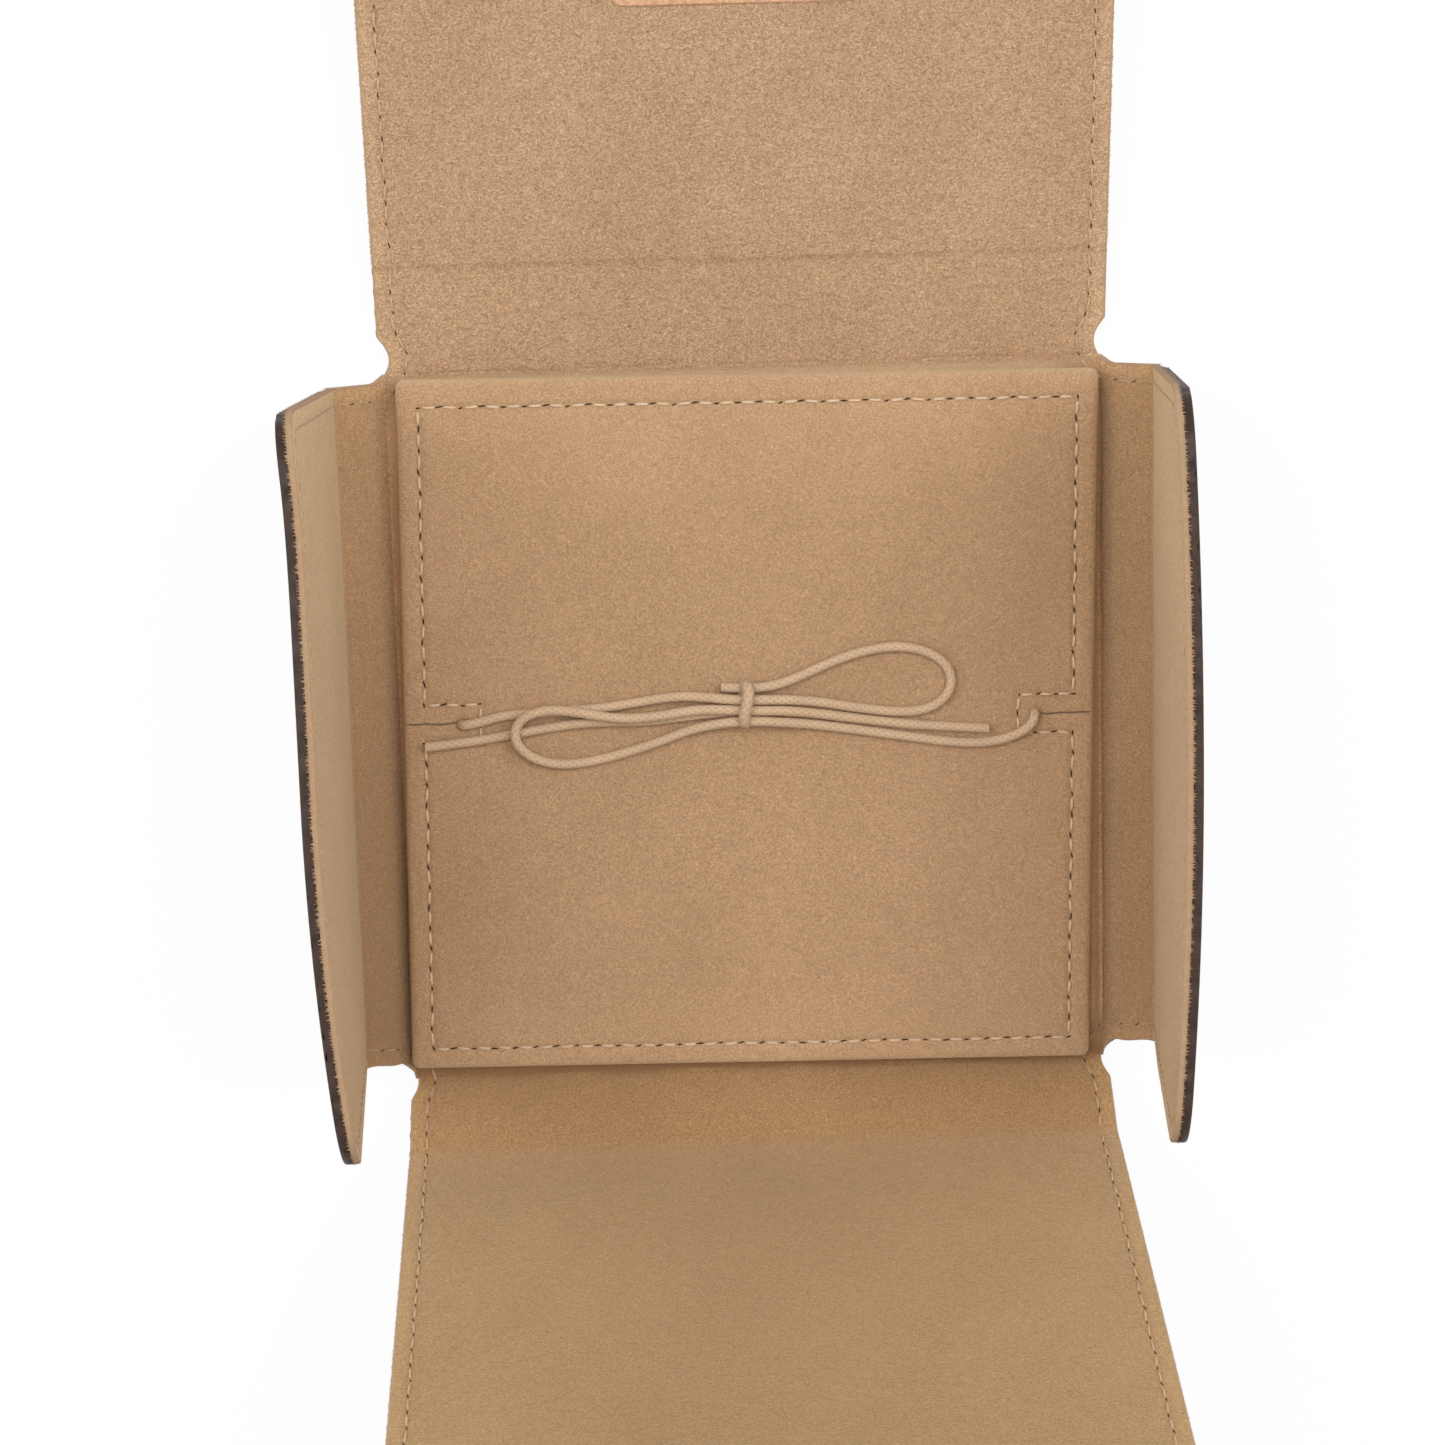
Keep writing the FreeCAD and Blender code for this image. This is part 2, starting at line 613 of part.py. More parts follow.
def slit_cuts():
    """For each end of the cord, its way through the cover and the slit out towards the edge."""
    cuts = []
    for name, sign in (("left", -1), ("right", 1)):
        cuts.append(cord_cut(f"{name}_way", sign, WAY_OUT, WAY_IN, CORD_BORE, FILLING, ABOVE))
        slit = ("Sizes.slit_edge", WAY_IN, "Sizes.slit_width")
        cuts.append(cord_cut(f"{name}_slit", sign, *slit, FILLING, ABOVE))
    return cuts


def seam_detours():
    """The sewn channel's way round each slit: two legs and the end that joins them."""
    cuts = []
    floor = f"({BORDER} - Sizes.seam_depth / 2)"
    leg = "(Sizes.seam_detour_width / 2)"
    for name, sign in (("left", -1), ("right", 1)):
        for leg_name, shift in (("upper", leg), ("lower", f"-{leg}")):
            size = ("Sizes.seam_detour - Sizes.seam_inset", "Sizes.seam_width", f"{ABOVE} - {floor}")
            start = cord_side("Sizes.seam_inset", "Sizes.seam_detour", sign)
            place = (start, f"Sizes.cord_offset + {shift} - Sizes.seam_width / 2", floor)
            cuts.append(box(f"{name}_{leg_name}_seam", size, place))
        far = cord_side("Sizes.seam_detour - Sizes.seam_width", "Sizes.seam_detour", sign)
        size = ("Sizes.seam_width", "Sizes.seam_detour_width", f"{ABOVE} - {floor}")
        cuts.append(box(f"{name}_end_seam", size, (far, f"Sizes.cord_offset - {leg}", floor)))
    return cuts


def foam_cuts():
    """A channel under the foam for the hidden stretch of cord, and its two ways up."""
    top = f"(Sizes.pad_board + {CORD_BORE})"
    span = f"(Sizes.pad_width - 2 * {WAY_OUT})"
    corner = (f"-{span} / 2", f"Sizes.cord_offset - {CORD_BORE} / 2", "Sizes.pad_board")
    cuts = [box("foam_run", (span, CORD_BORE, f"{top} - Sizes.pad_board"), corner)]
    for name, sign in (("left", -1), ("right", 1)):
        cuts.append(cord_cut(f"{name}_rise", sign, WAY_OUT, WAY_IN, CORD_BORE, "Sizes.pad_board", FILLING))
    return cuts


# Cord: each stretch is a tube along straight runs joined by the largest arcs that the runs allow

CORD = value("Sizes.cord_diameter")
UNDER = value("Sizes.pad_board + Sizes.cord_diameter / 2 + Sizes.cord_clearance")
EXIT_X = value("Sizes.pad_width / 2 - Sizes.cord_inset")
EXIT_Y = value("Sizes.cord_offset")
BURIED = 4.0
LOW, LAID, HIGH = 0.8, 0.85, 2.5
EXIT_LIFT = 0.95
CORD_SIDES = 6

# Points of each route on the pad: across, up, and lift of the cord's middle above the pad's surface
LEFT_LEAD = [
    (-EXIT_X, EXIT_Y, EXIT_LIFT), (-43.6, 1.7, 0.9), (-39.0, 2.9, LAID), (-31.0, 3.3, LOW), (-23.5, 3.7, LOW),
    (-17.5, 4.6, LAID), (-11.5, 5.5, 1.1), (-6.6, 5.3, 1.9), (-2.8, 4.9, HIGH), (1.6, 4.8, HIGH),
    (5.4, 4.7, 1.9), (10.5, 4.2, 1.0), (17.2, 2.95, LOW), (23.4, 2.1, LOW), (27.8, 2.3, LOW),
    (30.9, 3.7, LOW), (32.6, 6.6, LOW), (31.5, 9.8, LOW), (28.0, 12.1, LOW), (23.1, 12.8, LOW),
    (18.0, 12.0, LOW), (13.6, 10.6, LOW), (9.4, 8.8, 0.9), (5.4, 7.1, 1.4), (0.5, 6.2, 2.2),
]
RIGHT_LEAD = [
    (EXIT_X, EXIT_Y, EXIT_LIFT), (44.4, -0.6, 0.9), (41.0, -2.3, 0.9), (37.2, -3.3, LAID), (32.5, -3.0, LOW),
    (25.4, -1.9, LOW), (17.1, -0.6, LOW), (9.8, 0.5, 1.0), (5.2, 1.0, 1.8), (1.5, 1.4, HIGH),
    (-2.6, 1.4, HIGH), (-6.0, 0.85, 1.8), (-9.8, -0.1, 0.95), (-14.5, -1.9, LOW), (-20.0, -3.6, LOW),
    (-25.5, -4.9, LOW), (-30.5, -5.3, 0.95), (-35.0, -3.9, 1.85), (-37.6, -0.8, 2.75), (-36.6, 2.6, 2.7),
    (-32.2, 4.1, 2.65), (-27.0, 3.4, HIGH), (-20.8, 2.2, 2.55), (-15.0, 2.4, HIGH), (-8.5, 3.5, 2.55),
    (-3.4, 3.3, HIGH), (1.6, 3.05, HIGH), (5.8, 2.9, 1.9), (10.8, 2.2, 0.95), (17.2, 1.2, LOW),
    (25.5, 0.1, LOW), (31.8, -0.4, LOW), (38.2, -0.9, LAID),
]
LEFT_TAIL = [
    (-1.5, 2.7, LOW), (-5.5, 2.6, LAID), (-10.5, 2.1, LOW), (-17.0, 1.4, LAID), (-24.0, 1.6, LOW),
    (-30.0, 1.1, LOW), (-38.8, -0.4, LAID), (-45.5, -1.5, LAID), (-51.6, -2.1, LAID),
]
ARC_SHARE = 0.45
VOLUME_SLACK = 0.01
KNOT_STRANDS = (1.4, 4.85)
KNOT_X = -0.55
KNOT_GAP = 0.1


def pad_surface(x, y):
    """Height of the pad's surface above its floor, with the sewn channel left out."""
    inset = min(value("Sizes.pad_width") / 2 - abs(x), value("Sizes.pad_length") / 2 - abs(y))
    profile = crown_profile()
    for (near, low), (far, high) in zip(profile, profile[1:]):
        if inset < far:
            share = max(0.0, (inset - near) / (far - near))
            return low + share * (high - low)
    return profile[-1][1]


def on_pad(route):
    """A route's points in the case's frame."""
    return [PAD_PLACE.multVec(Vector(x, y, pad_surface(x, y) + lift)) for x, y, lift in route]


def buried(sign):
    """The cord's two points inside the pad at one end: on its hidden run, and below its way out."""
    return [PAD_PLACE.multVec(Vector(sign * x, EXIT_Y, UNDER)) for x in (EXIT_X - BURIED, EXIT_X)]


def route_wire(points):
    """Straight runs joined by tangent arcs; also gives the smallest radius."""
    edges, radii = [], []
    start = points[0]
    for before, corner, after in zip(points, points[1:], points[2:]):
        back, ahead = before - corner, after - corner
        shorter = min(back.Length, ahead.Length)
        back.normalize()
        ahead.normalize()
        half_turn = (math.pi - back.getAngle(ahead)) / 2
        reach = ARC_SHARE * shorter
        radius = reach / math.tan(half_turn)
        middle = back + ahead
        middle.normalize()
        sag = radius / math.cos(half_turn) - radius
        first, last = corner + back * reach, corner + ahead * reach
        edges.append(Part.LineSegment(start, first).toShape())
        edges.append(Part.Arc(first, corner + middle * sag, last).toShape())
        radii.append(radius)
        start = last
    edges.append(Part.LineSegment(start, points[-1]).toShape())
    return Part.Wire(edges), radii


def tube(label, wire, start, direction):
    """A many-sided tube along a wire, its volume compared with its section times its length."""
    square_to = Rotation(Vector(0, 0, 1), direction)
    corners = []
    for i in range(CORD_SIDES + 1):
        angle = 2 * math.pi * i / CORD_SIDES
        corners.append(start + square_to.multVec(Vector(math.cos(angle), math.sin(angle), 0) * CORD / 2))
    ring = Part.makePolygon(corners)
    shape = wire.makePipeShell([ring], True, False)
    wanted = Part.Face(ring).Area * wire.Length
    if abs(shape.Volume - wanted) > VOLUME_SLACK * wanted:
        raise RuntimeError(f"{label} has volume {shape.Volume:.1f}, not {wanted:.1f}")
    thing = doc.addObject("Part::Feature", label)
    thing.Shape = shape
    keep(thing, label)
    return thing


def build_cord():
    routes = {
        "cord_left": buried(-1) + on_pad(LEFT_LEAD),
        "cord_right": buried(1) + on_pad(RIGHT_LEAD),
        "cord_tail": on_pad(LEFT_TAIL),
    }
    for label, points in routes.items():
        wire, radii = route_wire(points)
        tube(label, wire, points[0], points[1] - points[0])
        print(label, f"{wire.Length:.1f} mm, radii", " ".join(f"{r:.1f}" for r in radii))
    ends = [buried(-1)[0], buried(1)[0]]
    hidden = Part.Wire(Part.LineSegment(*ends).toShape())
    tube("cord_under_pad", hidden, ends[0], ends[1] - ends[0])


def build_knot():
    """The turn of cord that ties the bow: a flat-sided loop round the strands that it holds."""
    low, high = KNOT_STRANDS
    bend = CORD + KNOT_GAP
    centre_z = pad_surface(KNOT_X, 0) + HIGH
    middle, half = (low + high) / 2, (high - low) / 2

    def at(y, z):
        return PAD_PLACE.multVec(Vector(KNOT_X, middle + y, centre_z + z))

    edges = [
        Part.LineSegment(at(-half, bend), at(half, bend)).toShape(),
        Part.Arc(at(half, bend), at(half + bend, 0), at(half, -bend)).toShape(),
        Part.LineSegment(at(half, -bend), at(-half, -bend)).toShape(),
        Part.Arc(at(-half, -bend), at(-half - bend, 0), at(-half, bend)).toShape(),
    ]
    tube("bow_knot", Part.Wire(edges), at(-half, bend), at(half, bend) - at(-half, bend))


build_base()
for side_name, side_sizes in SIDES.items():
    build_side(side_name, side_sizes)
build_label()
build_disc("lid_magnet", "lid")
build_disc("front_keeper", "front")
build_pad()
build_cord()
build_knot()
doc.recompute()

for thing in doc.Objects:
    if {"Invalid", "Error"} & set(thing.State):
        raise RuntimeError(f"{thing.Label} failed: {thing.State}")
for part in parts:
    if part.Shape.isNull() or not part.Shape.isValid() or len(part.Shape.Solids) != 1:
        raise RuntimeError(f"{part.Label} isn't one valid solid")

os.makedirs("parts", exist_ok=True)
for part in parts:
    part.Shape.exportStep(f"parts/{part.Label}.step")
print(len(parts), "sub-parts written")
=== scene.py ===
"""Looks of the folding leather jewellery case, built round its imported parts.

Metres, in the parts' own frame: +Z up, the lid towards +Y. The suede and the leather of each side are
made flat first, as they are cut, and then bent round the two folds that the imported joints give. In
those flat coordinates u runs along the fold, v outwards from the inner fold and w up from the suede.
"""
import json
import math

import bpy
import numpy as np
from mathutils import Euler, Matrix, Vector


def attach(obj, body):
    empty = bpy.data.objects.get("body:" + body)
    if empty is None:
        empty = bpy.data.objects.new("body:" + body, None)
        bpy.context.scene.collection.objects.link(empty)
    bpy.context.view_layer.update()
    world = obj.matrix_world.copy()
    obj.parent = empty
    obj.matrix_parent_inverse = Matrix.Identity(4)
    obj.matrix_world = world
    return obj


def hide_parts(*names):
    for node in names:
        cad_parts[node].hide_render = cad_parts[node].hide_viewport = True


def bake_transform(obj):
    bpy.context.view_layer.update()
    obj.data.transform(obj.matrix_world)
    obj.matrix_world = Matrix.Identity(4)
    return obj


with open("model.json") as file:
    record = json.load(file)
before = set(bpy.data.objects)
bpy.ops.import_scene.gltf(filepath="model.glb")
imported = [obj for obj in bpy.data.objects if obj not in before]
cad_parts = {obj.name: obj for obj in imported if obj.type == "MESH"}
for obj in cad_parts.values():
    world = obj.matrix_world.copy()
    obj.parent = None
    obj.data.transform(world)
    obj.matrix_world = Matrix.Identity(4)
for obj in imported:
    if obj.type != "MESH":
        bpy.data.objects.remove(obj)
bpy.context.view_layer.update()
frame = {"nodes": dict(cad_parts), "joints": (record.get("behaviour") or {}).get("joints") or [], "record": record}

MM = 0.001
LEAST_GAP = 0.02 * MM
NEARLY_NOTHING = 1e-9
UP = np.array((0.0, 0.0, 1.0))

# Layers of the base, walls and flaps
SUEDE_THICK = 0.9 * MM
PLATE = 2.4 * MM
SUEDE_INSET = 0.05 * MM
BOARD_THICK = 0.75 * MM
BOARD_INSET = 3.2 * MM

# Corner notches: their middles lie beyond the side folds and beyond the lid's or front's fold
NOTCH_RADIUS = 3.6 * MM
LID_NOTCH = (2.8 * MM, 2.6 * MM)
FRONT_NOTCH = (3.4 * MM, 0.6 * MM)
NOTCH_BLEND = 3.0 * MM
NOTCH_FADE = 7.0 * MM
CORNER = 9.0 * MM

# How far the leather stands back from the suede: round the notches, and at the ends of the side walls
NOTCH_BACK = 0.35 * MM
NOTCH_BACK_BAND = (NOTCH_RADIUS, 3 * MM)
END_BACK = {"left": (0.0, 0.6 * MM), "right": (0.6 * MM, 0.0)}

# Soft edges, folds and sewing of the sides
SOFT_FOLD = 1.1 * MM
SUEDE_ROLL = 0.35 * MM
LEATHER_ROLL = 0.5 * MM
STITCH_INSET = 2.8 * MM
STITCH_PITCH = 3.3 * MM
STITCH_LENGTH = 2.0 * MM
PAD_THREAD = 0.44 * MM
SIDE_THREAD = 0.34 * MM
FLAP_THREAD = 0.26 * MM
HOLE_LENGTH = 2.5
HOLE_WIDTH = 0.66
SEAM_DEPTH = 0.14 * MM
SEAM_SPREAD = 0.5 * MM
SEAM_PULL = 0.25

# The leather's edge, which swells between the stitches
EDGE_WAVE = 0.11 * MM
EDGE_WAVE_REACH = 2 * MM

# Pad, as glued in
PAD_HALF_X = 55.0 * MM
PAD_HALF_Y = 55.75 * MM
PAD_CORNER = 1.4 * MM
PAD_BORDER = 4.3 * MM
PAD_CROWN = 0.8 * MM
PAD_ROLL = 1.2 * MM
CROWN_START = 4.5 * MM
CROWN_END = 27.5 * MM
PAD_SEAM = 3.4 * MM
PAD_SEAM_NORTH = 4.2 * MM
PAD_SEAM_DEPTH = 0.34 * MM
DETOUR_END = 12.2 * MM
DETOUR_HALF = 3.1 * MM
PAD_TURN = math.radians(-0.6)
PAD_SHIFT = Vector((-0.6 * MM, 0.2 * MM, PLATE))
PAD_PLACE = Matrix.Translation(PAD_SHIFT) @ Matrix.Rotation(PAD_TURN, 4, "Z")

# How far the pad's corners are out of square, across and up: front left, front right, back left, back right
PAD_SKEW = np.array(((-0.6, 0.3), (-0.2, -0.3), (0.5, 0.1), (0.9, 0.0))) * MM

# Cord
CORD_DIAMETER = 1.6 * MM
KNOT_DIAMETER = 1.95 * MM
EXIT_X = 45.8 * MM
EXIT_Y = 1.2 * MM

# Camera, as found from the photograph's perspective
CAMERA_PLACE = Vector((-17.04, 83.64, 478.44)) * MM
CAMERA_TURN = Euler([math.radians(angle) for angle in (-9.892, -1.753, -1.557)])
SENSOR = 36.0
FOCAL_SHARE = 3000.0 / 1445.0


def ease(share):
    """A smooth step from 0 to 1."""
    share = np.clip(share, 0.0, 1.0)
    return share * share * (3.0 - 2.0 * share)


def past(value, band):
    """A smooth step from 0 to 1 over a band, given by its start and its width."""
    start, width = band
    return ease((value - start) / width)


def bump_at(offset, spread):
    """A soft ridge, 1 at no offset."""
    return np.exp(-((offset / spread) ** 2))


def rolled(distance, radius):
    """How far a rounded edge has dropped at a distance from the outline."""
    inside = np.clip(radius - distance, 0.0, radius)
    return radius - np.sqrt(radius ** 2 - inside ** 2)


def travelled(line):
    """How far along a line each of its points is."""
    return np.concatenate([[0.0], np.cumsum(np.linalg.norm(np.diff(line, axis=0), axis=1))])


def along_line(line, at):
    """Points at distances along a line."""
    travel = travelled(line)
    return np.stack([np.interp(at, travel, axis) for axis in line.T], axis=1)


def wander(a, b, size, seed):
    """Slow, repeatable unevenness between about -1 and 1, for lengths of the given size.

    Four waves of different directions and lengths add up, so that no pattern shows."""
    total = np.zeros(np.broadcast(a, b).shape)
    for wave in range(1, 5):
        angle = seed * 1.7 + wave * 2.4
        step = 2 * math.pi * (0.55 + 0.3 * wave) / size
        total = total + np.sin(step * (a * math.cos(angle) + b * math.sin(angle)) + seed * wave) / 4
    return total


# Node materials

def new_material(name):
    """An empty material, its node tree and its Principled shader."""
    material = bpy.data.materials.new(name)
    material.use_nodes = True
    tree = material.node_tree
    return material, tree, tree.nodes["Principled BSDF"]


def node(tree, kind, inputs=None, **settings):
    """Add a node, set its fields, and set or link its inputs."""
    made = tree.nodes.new(kind)
    for field, setting in settings.items():
        setattr(made, field, setting)
    for socket, entry in (inputs or {}).items():
        if isinstance(entry, bpy.types.NodeSocket):
            tree.links.new(entry, made.inputs[socket])
        else:
            made.inputs[socket].default_value = entry
    return made


def place_on(tree):
    """Coordinates fixed to the object, in metres."""
    return node(tree, "ShaderNodeTexCoord").outputs["Object"]


def noise(tree, scale, detail=2.0, rough=0.5, vector=None):
    """A noise value between 0 and 1, with the given number of blotches to a metre."""
    inputs = {"Vector": vector or place_on(tree), "Scale": scale, "Detail": detail, "Roughness": rough}
    return node(tree, "ShaderNodeTexNoise", inputs).outputs["Fac"]


def between(tree, value, low, high):
    """Stretch part of a value's range to 0 to 1."""
    inputs = {"Value": value, "From Min": low, "From Max": high}
    return node(tree, "ShaderNodeMapRange", inputs).outputs["Result"]


def opaque(colour):
    """A plain colour with its alpha; a node's output as it is."""
    return colour if isinstance(colour, bpy.types.NodeSocket) else (*colour, 1.0)


def blend_colours(tree, share, first, second, how="MIX"):
    """Mix two colours, each a colour or another node's output."""
    inputs = {0: share, 6: opaque(first), 7: opaque(second)}
    return node(tree, "ShaderNodeMix", inputs, data_type="RGBA", blend_type=how).outputs[2]


def maths(tree, operation, *operands):
    """The result of one operation on numbers or node outputs."""
    return node(tree, "ShaderNodeMath", dict(enumerate(operands)), operation=operation).outputs[0]


def sum_of(tree, *weighted):
    """A weighted sum of values: pairs of a value and its weight."""
    total = 0.0
    for entry, weight in weighted:
        total = maths(tree, "MULTIPLY_ADD", entry, weight, total)
    return total


def bump(tree, shader, height, depth, strength=1.0):
    """Drive the shader's normal from a height."""
    made = node(tree, "ShaderNodeBump", {"Height": height, "Distance": depth, "Strength": strength})
    tree.links.new(made.outputs["Normal"], shader.inputs["Normal"])


def shaded(colour, factor):
    """A colour made darker or paler."""
    return tuple(channel * factor for channel in colour)


def mottled(tree, value, low, high, colour, first, second):
    """A colour that goes from one shade of it to another as a value goes from low to high."""
    return blend_colours(tree, between(tree, value, low, high), shaded(colour, first), shaded(colour, second))


def toned(tree, colour, other):
    """A colour that goes over to another where the mesh's tone mark is above 0, which marks painted shade."""
    return blend_colours(tree, between(tree, mark_of(tree, "tone"), 0.0, 1.0), colour, other)


def dress(tree, shader, colour, rough, specular=0.5, sheen=0.0):
    """Link the shader's colour and set its plain inputs."""
    tree.links.new(colour, shader.inputs["Base Color"])
    shader.inputs["Roughness"].default_value = rough
    shader.inputs["Specular IOR Level"].default_value = specular
    shader.inputs["Sheen Weight"].default_value = sheen


def mark_of(tree, mark):
    """A value that the mesh's points carry, such as its tone: above 0 painted shade, below 0 paler, mostly painted
    light.
    """
    return node(tree, "ShaderNodeAttribute", attribute_name=mark).outputs["Fac"]


def suede(name, colour, wall_shade_colour, crease_shade):
    """Short-napped suede: granular nap, soft blotches, fine cracks, painted shade in the creases and a faint
    sheen.

    The wall mark goes over to the walls' darker, more orange colour, which is painted shade and bounce light of
    the concave walls, and the coarse mark gives more grain and cracks."""
    material, tree, shader = new_material(name)
    fine = noise(tree, 4600.0, 3.0, 0.75)
    nap = noise(tree, 2500.0, 4.0, 0.8)
    clump = noise(tree, 620.0, 3.0, 0.6)
    blotch = noise(tree, 60.0, 3.0, 0.55)
    brushed = noise(tree, 14.0, 2.0)
    coarse = maths(tree, "ADD", mark_of(tree, "coarse"), 0.15)
    grain = between(tree, coarse, -2.0, 1.0)

    # Cracks run where a stretched noise crosses its middle value
    along = node(tree, "ShaderNodeMapping", {"Vector": place_on(tree), "Scale": (0.5, 1.0, 1.0)}).outputs[0]
    off_line = maths(tree, "ABSOLUTE", maths(tree, "SUBTRACT", noise(tree, 1900.0, 2.0, 0.6, along), 0.5))
    patchy = between(tree, noise(tree, 1300.0, 1.0), 0.30, 0.60)
    cracked = maths(tree, "MULTIPLY", patchy, coarse)
    crack = maths(tree, "MULTIPLY", between(tree, off_line, 0.06, 0.0), cracked)

    # Each speckle: its value, the range that it is read in, its shades at both ends, and its strength
    # Painted shade: the wall mark turns the suede to the walls' darker, more orange colour
    cloth = blend_colours(tree, between(tree, mark_of(tree, "wall"), 0.0, 1.0), colour, wall_shade_colour)
    for value, low, high, first, second, strength in (
        (fine, 0.37, 0.63, (0.66, 0.64, 0.61), (1.34, 1.34, 1.34), grain),
        (nap, 0.38, 0.62, (0.76, 0.74, 0.71), (1.21, 1.215, 1.22), grain),
        (clump, 0.33, 0.67, (0.975, 0.97, 0.96), (1.025, 1.03, 1.035), 1.0),
        (blotch, 0.30, 0.70, (0.955, 0.945, 0.93), (1.035, 1.035, 1.04), 1.0),
        (brushed, 0.35, 0.65, (0.97, 0.965, 0.955), (1.025, 1.025, 1.03), 1.0),
        (crack, 0.0, 1.0, (1.0, 1.0, 1.0), (0.74, 0.67, 0.59), 1.0),
    ):
        speckle = blend_colours(tree, between(tree, value, low, high), first, second)
        cloth = blend_colours(tree, strength, cloth, speckle, "MULTIPLY")
    # Painted shade: the suede goes over to a darker brown where the tone mark is above 0, as in the creases
    cloth = toned(tree, cloth, crease_shade)
    # Below 0 the tone lifts the suede's colour: painted light on the lid, the side flaps, the foot of the side
    # walls and the base's margins beside the pad, and paler borders
    paler_cloth = blend_colours(tree, 1.0, cloth, shaded(PALE_LIFT_TINT, PALE_LIFT), "MULTIPLY")
    cloth = blend_colours(tree, between(tree, mark_of(tree, "tone"), 0.0, -1.0), cloth, paler_cloth)
    dress(tree, shader, cloth, 0.95, 0.12, NAP_SHEEN)
    shader.inputs["Sheen Roughness"].default_value = 0.45
    shader.inputs["Sheen Tint"].default_value = (1.0, 0.82, 0.55, 1.0)
    height = sum_of(tree, (fine, 0.5), (nap, 1.0), (clump, 0.9), (blotch, 0.4), (crack, -0.35))
    bump(tree, shader, height, 0.3 * MM, 0.85)
    return material


def raw_edge(name, colour):
    """Cut edge of the suede: loose orange-beige fibres."""
    material, tree, shader = new_material(name)
    fibre = noise(tree, 5200.0, 3.0, 0.7)
    clump = noise(tree, 900.0, 2.0)
    cloth = mottled(tree, fibre, 0.3, 0.7, colour, 0.78, 1.18)
    cloth = blend_colours(tree, between(tree, clump, 0.35, 0.65), cloth, shaded(colour, 0.92))
    dress(tree, shader, cloth, 1.0, 0.1, 0.15)
    bump(tree, shader, sum_of(tree, (fibre, 1.0), (clump, 0.8)), 0.25 * MM)
    return material


def grained_leather(name, colour, worn, cells, gloss):
    """Leather with a pebbled grain, paler worn places and uneven gloss."""
    material, tree, shader = new_material(name)
    warp = noise(tree, 300.0, 2.0)
    pebble = node(tree, "ShaderNodeTexVoronoi", {"Vector": place_on(tree), "Scale": cells, "Randomness": 0.9},
                  feature="SMOOTH_F1").outputs["Distance"]
    pores = noise(tree, 5200.0, 2.0, 0.6)
    wear = noise(tree, 38.0, 4.0, 0.62)
    skin = mottled(tree, pebble, 0.1, 0.7, colour, 1.12, 0.72)
    skin = blend_colours(tree, between(tree, wear, 0.54, 0.95), skin, worn)
    dress(tree, shader, toned(tree, skin, worn), gloss, 0.35)
    rough = maths(tree, "MULTIPLY_ADD", between(tree, wear, 0.3, 0.7), WORN_ROUGHER, gloss)
    tree.links.new(rough, shader.inputs["Roughness"])
    bump(tree, shader, sum_of(tree, (pebble, -0.8), (pores, 0.25), (warp, 0.5)), 0.14 * MM)
    return material


def edge_paint(name, colour):
    """Slightly uneven paint on the leather's edge."""
    material, tree, shader = new_material(name)
    ripple = noise(tree, 420.0, 2.0)
    speck = noise(tree, 3000.0, 2.0)
    paint = mottled(tree, ripple, 0.3, 0.7, colour, 0.75, 1.3)
    paint = blend_colours(tree, between(tree, speck, 0.62, 0.75), paint, shaded(colour, 2.2))
    dress(tree, shader, paint, 0.45, 0.2)
    bump(tree, shader, sum_of(tree, (ripple, 1.0), (speck, 0.2)), 0.14 * MM)
    return material


def thread(name, colour, rough=0.7):
    """Twisted sewing thread or cord, with fine fibres, and painted shade where the tone mark is above 0."""
    material, tree, shader = new_material(name)
    fibre = noise(tree, 6500.0, 3.0, 0.65)
    soil = noise(tree, 260.0, 2.0)
    yarn = mottled(tree, fibre, 0.3, 0.7, colour, 0.82, 1.14)
    yarn = blend_colours(tree, between(tree, soil, 0.35, 0.7), yarn, shaded(colour, 0.88))
    # Painted shade where the tone mark is above 0: in the cord's plait grooves and at its tips
    dress(tree, shader, toned(tree, yarn, shaded(colour, 0.45)), rough, 0.3, 0.1)
    bump(tree, shader, fibre, 0.06 * MM)
    return material


def speckled(name, colour, spots, metal=0.0, rough=0.8):
    """Plain hidden stuff such as card, foam or steel, with a fine uneven surface."""
    material, tree, shader = new_material(name)
    spot = noise(tree, spots, 3.0, 0.6)
    dress(tree, shader, mottled(tree, spot, 0.3, 0.7, colour, 0.85, 1.12), rough)
    shader.inputs["Metallic"].default_value = metal
    bump(tree, shader, spot, 0.1 * MM)
    return material


WORN_ROUGHER = 0.16
PAD_BEIGE = (0.500, 0.322, 0.186)
FLAP_BEIGE = (0.405, 0.262, 0.158)
# Painted shade: the walls' darker, more orange copy of the suede
WALL_SHADE_BEIGE = (0.425, 0.252, 0.128)
# Painted shade: darker copies of the suede for the front flap and the front wall
FRONT_FLAP_SHADED_BEIGE = (0.340, 0.202, 0.092)
FRONT_WALL_SHADE_BEIGE = (0.395, 0.231, 0.110)
# How far a tone below 0 lifts the suede: mostly painted light
PALE_LIFT = 1.8
PALE_LIFT_TINT = (1.0, 1.08, 1.13)
NAP_SHEEN = 0.6
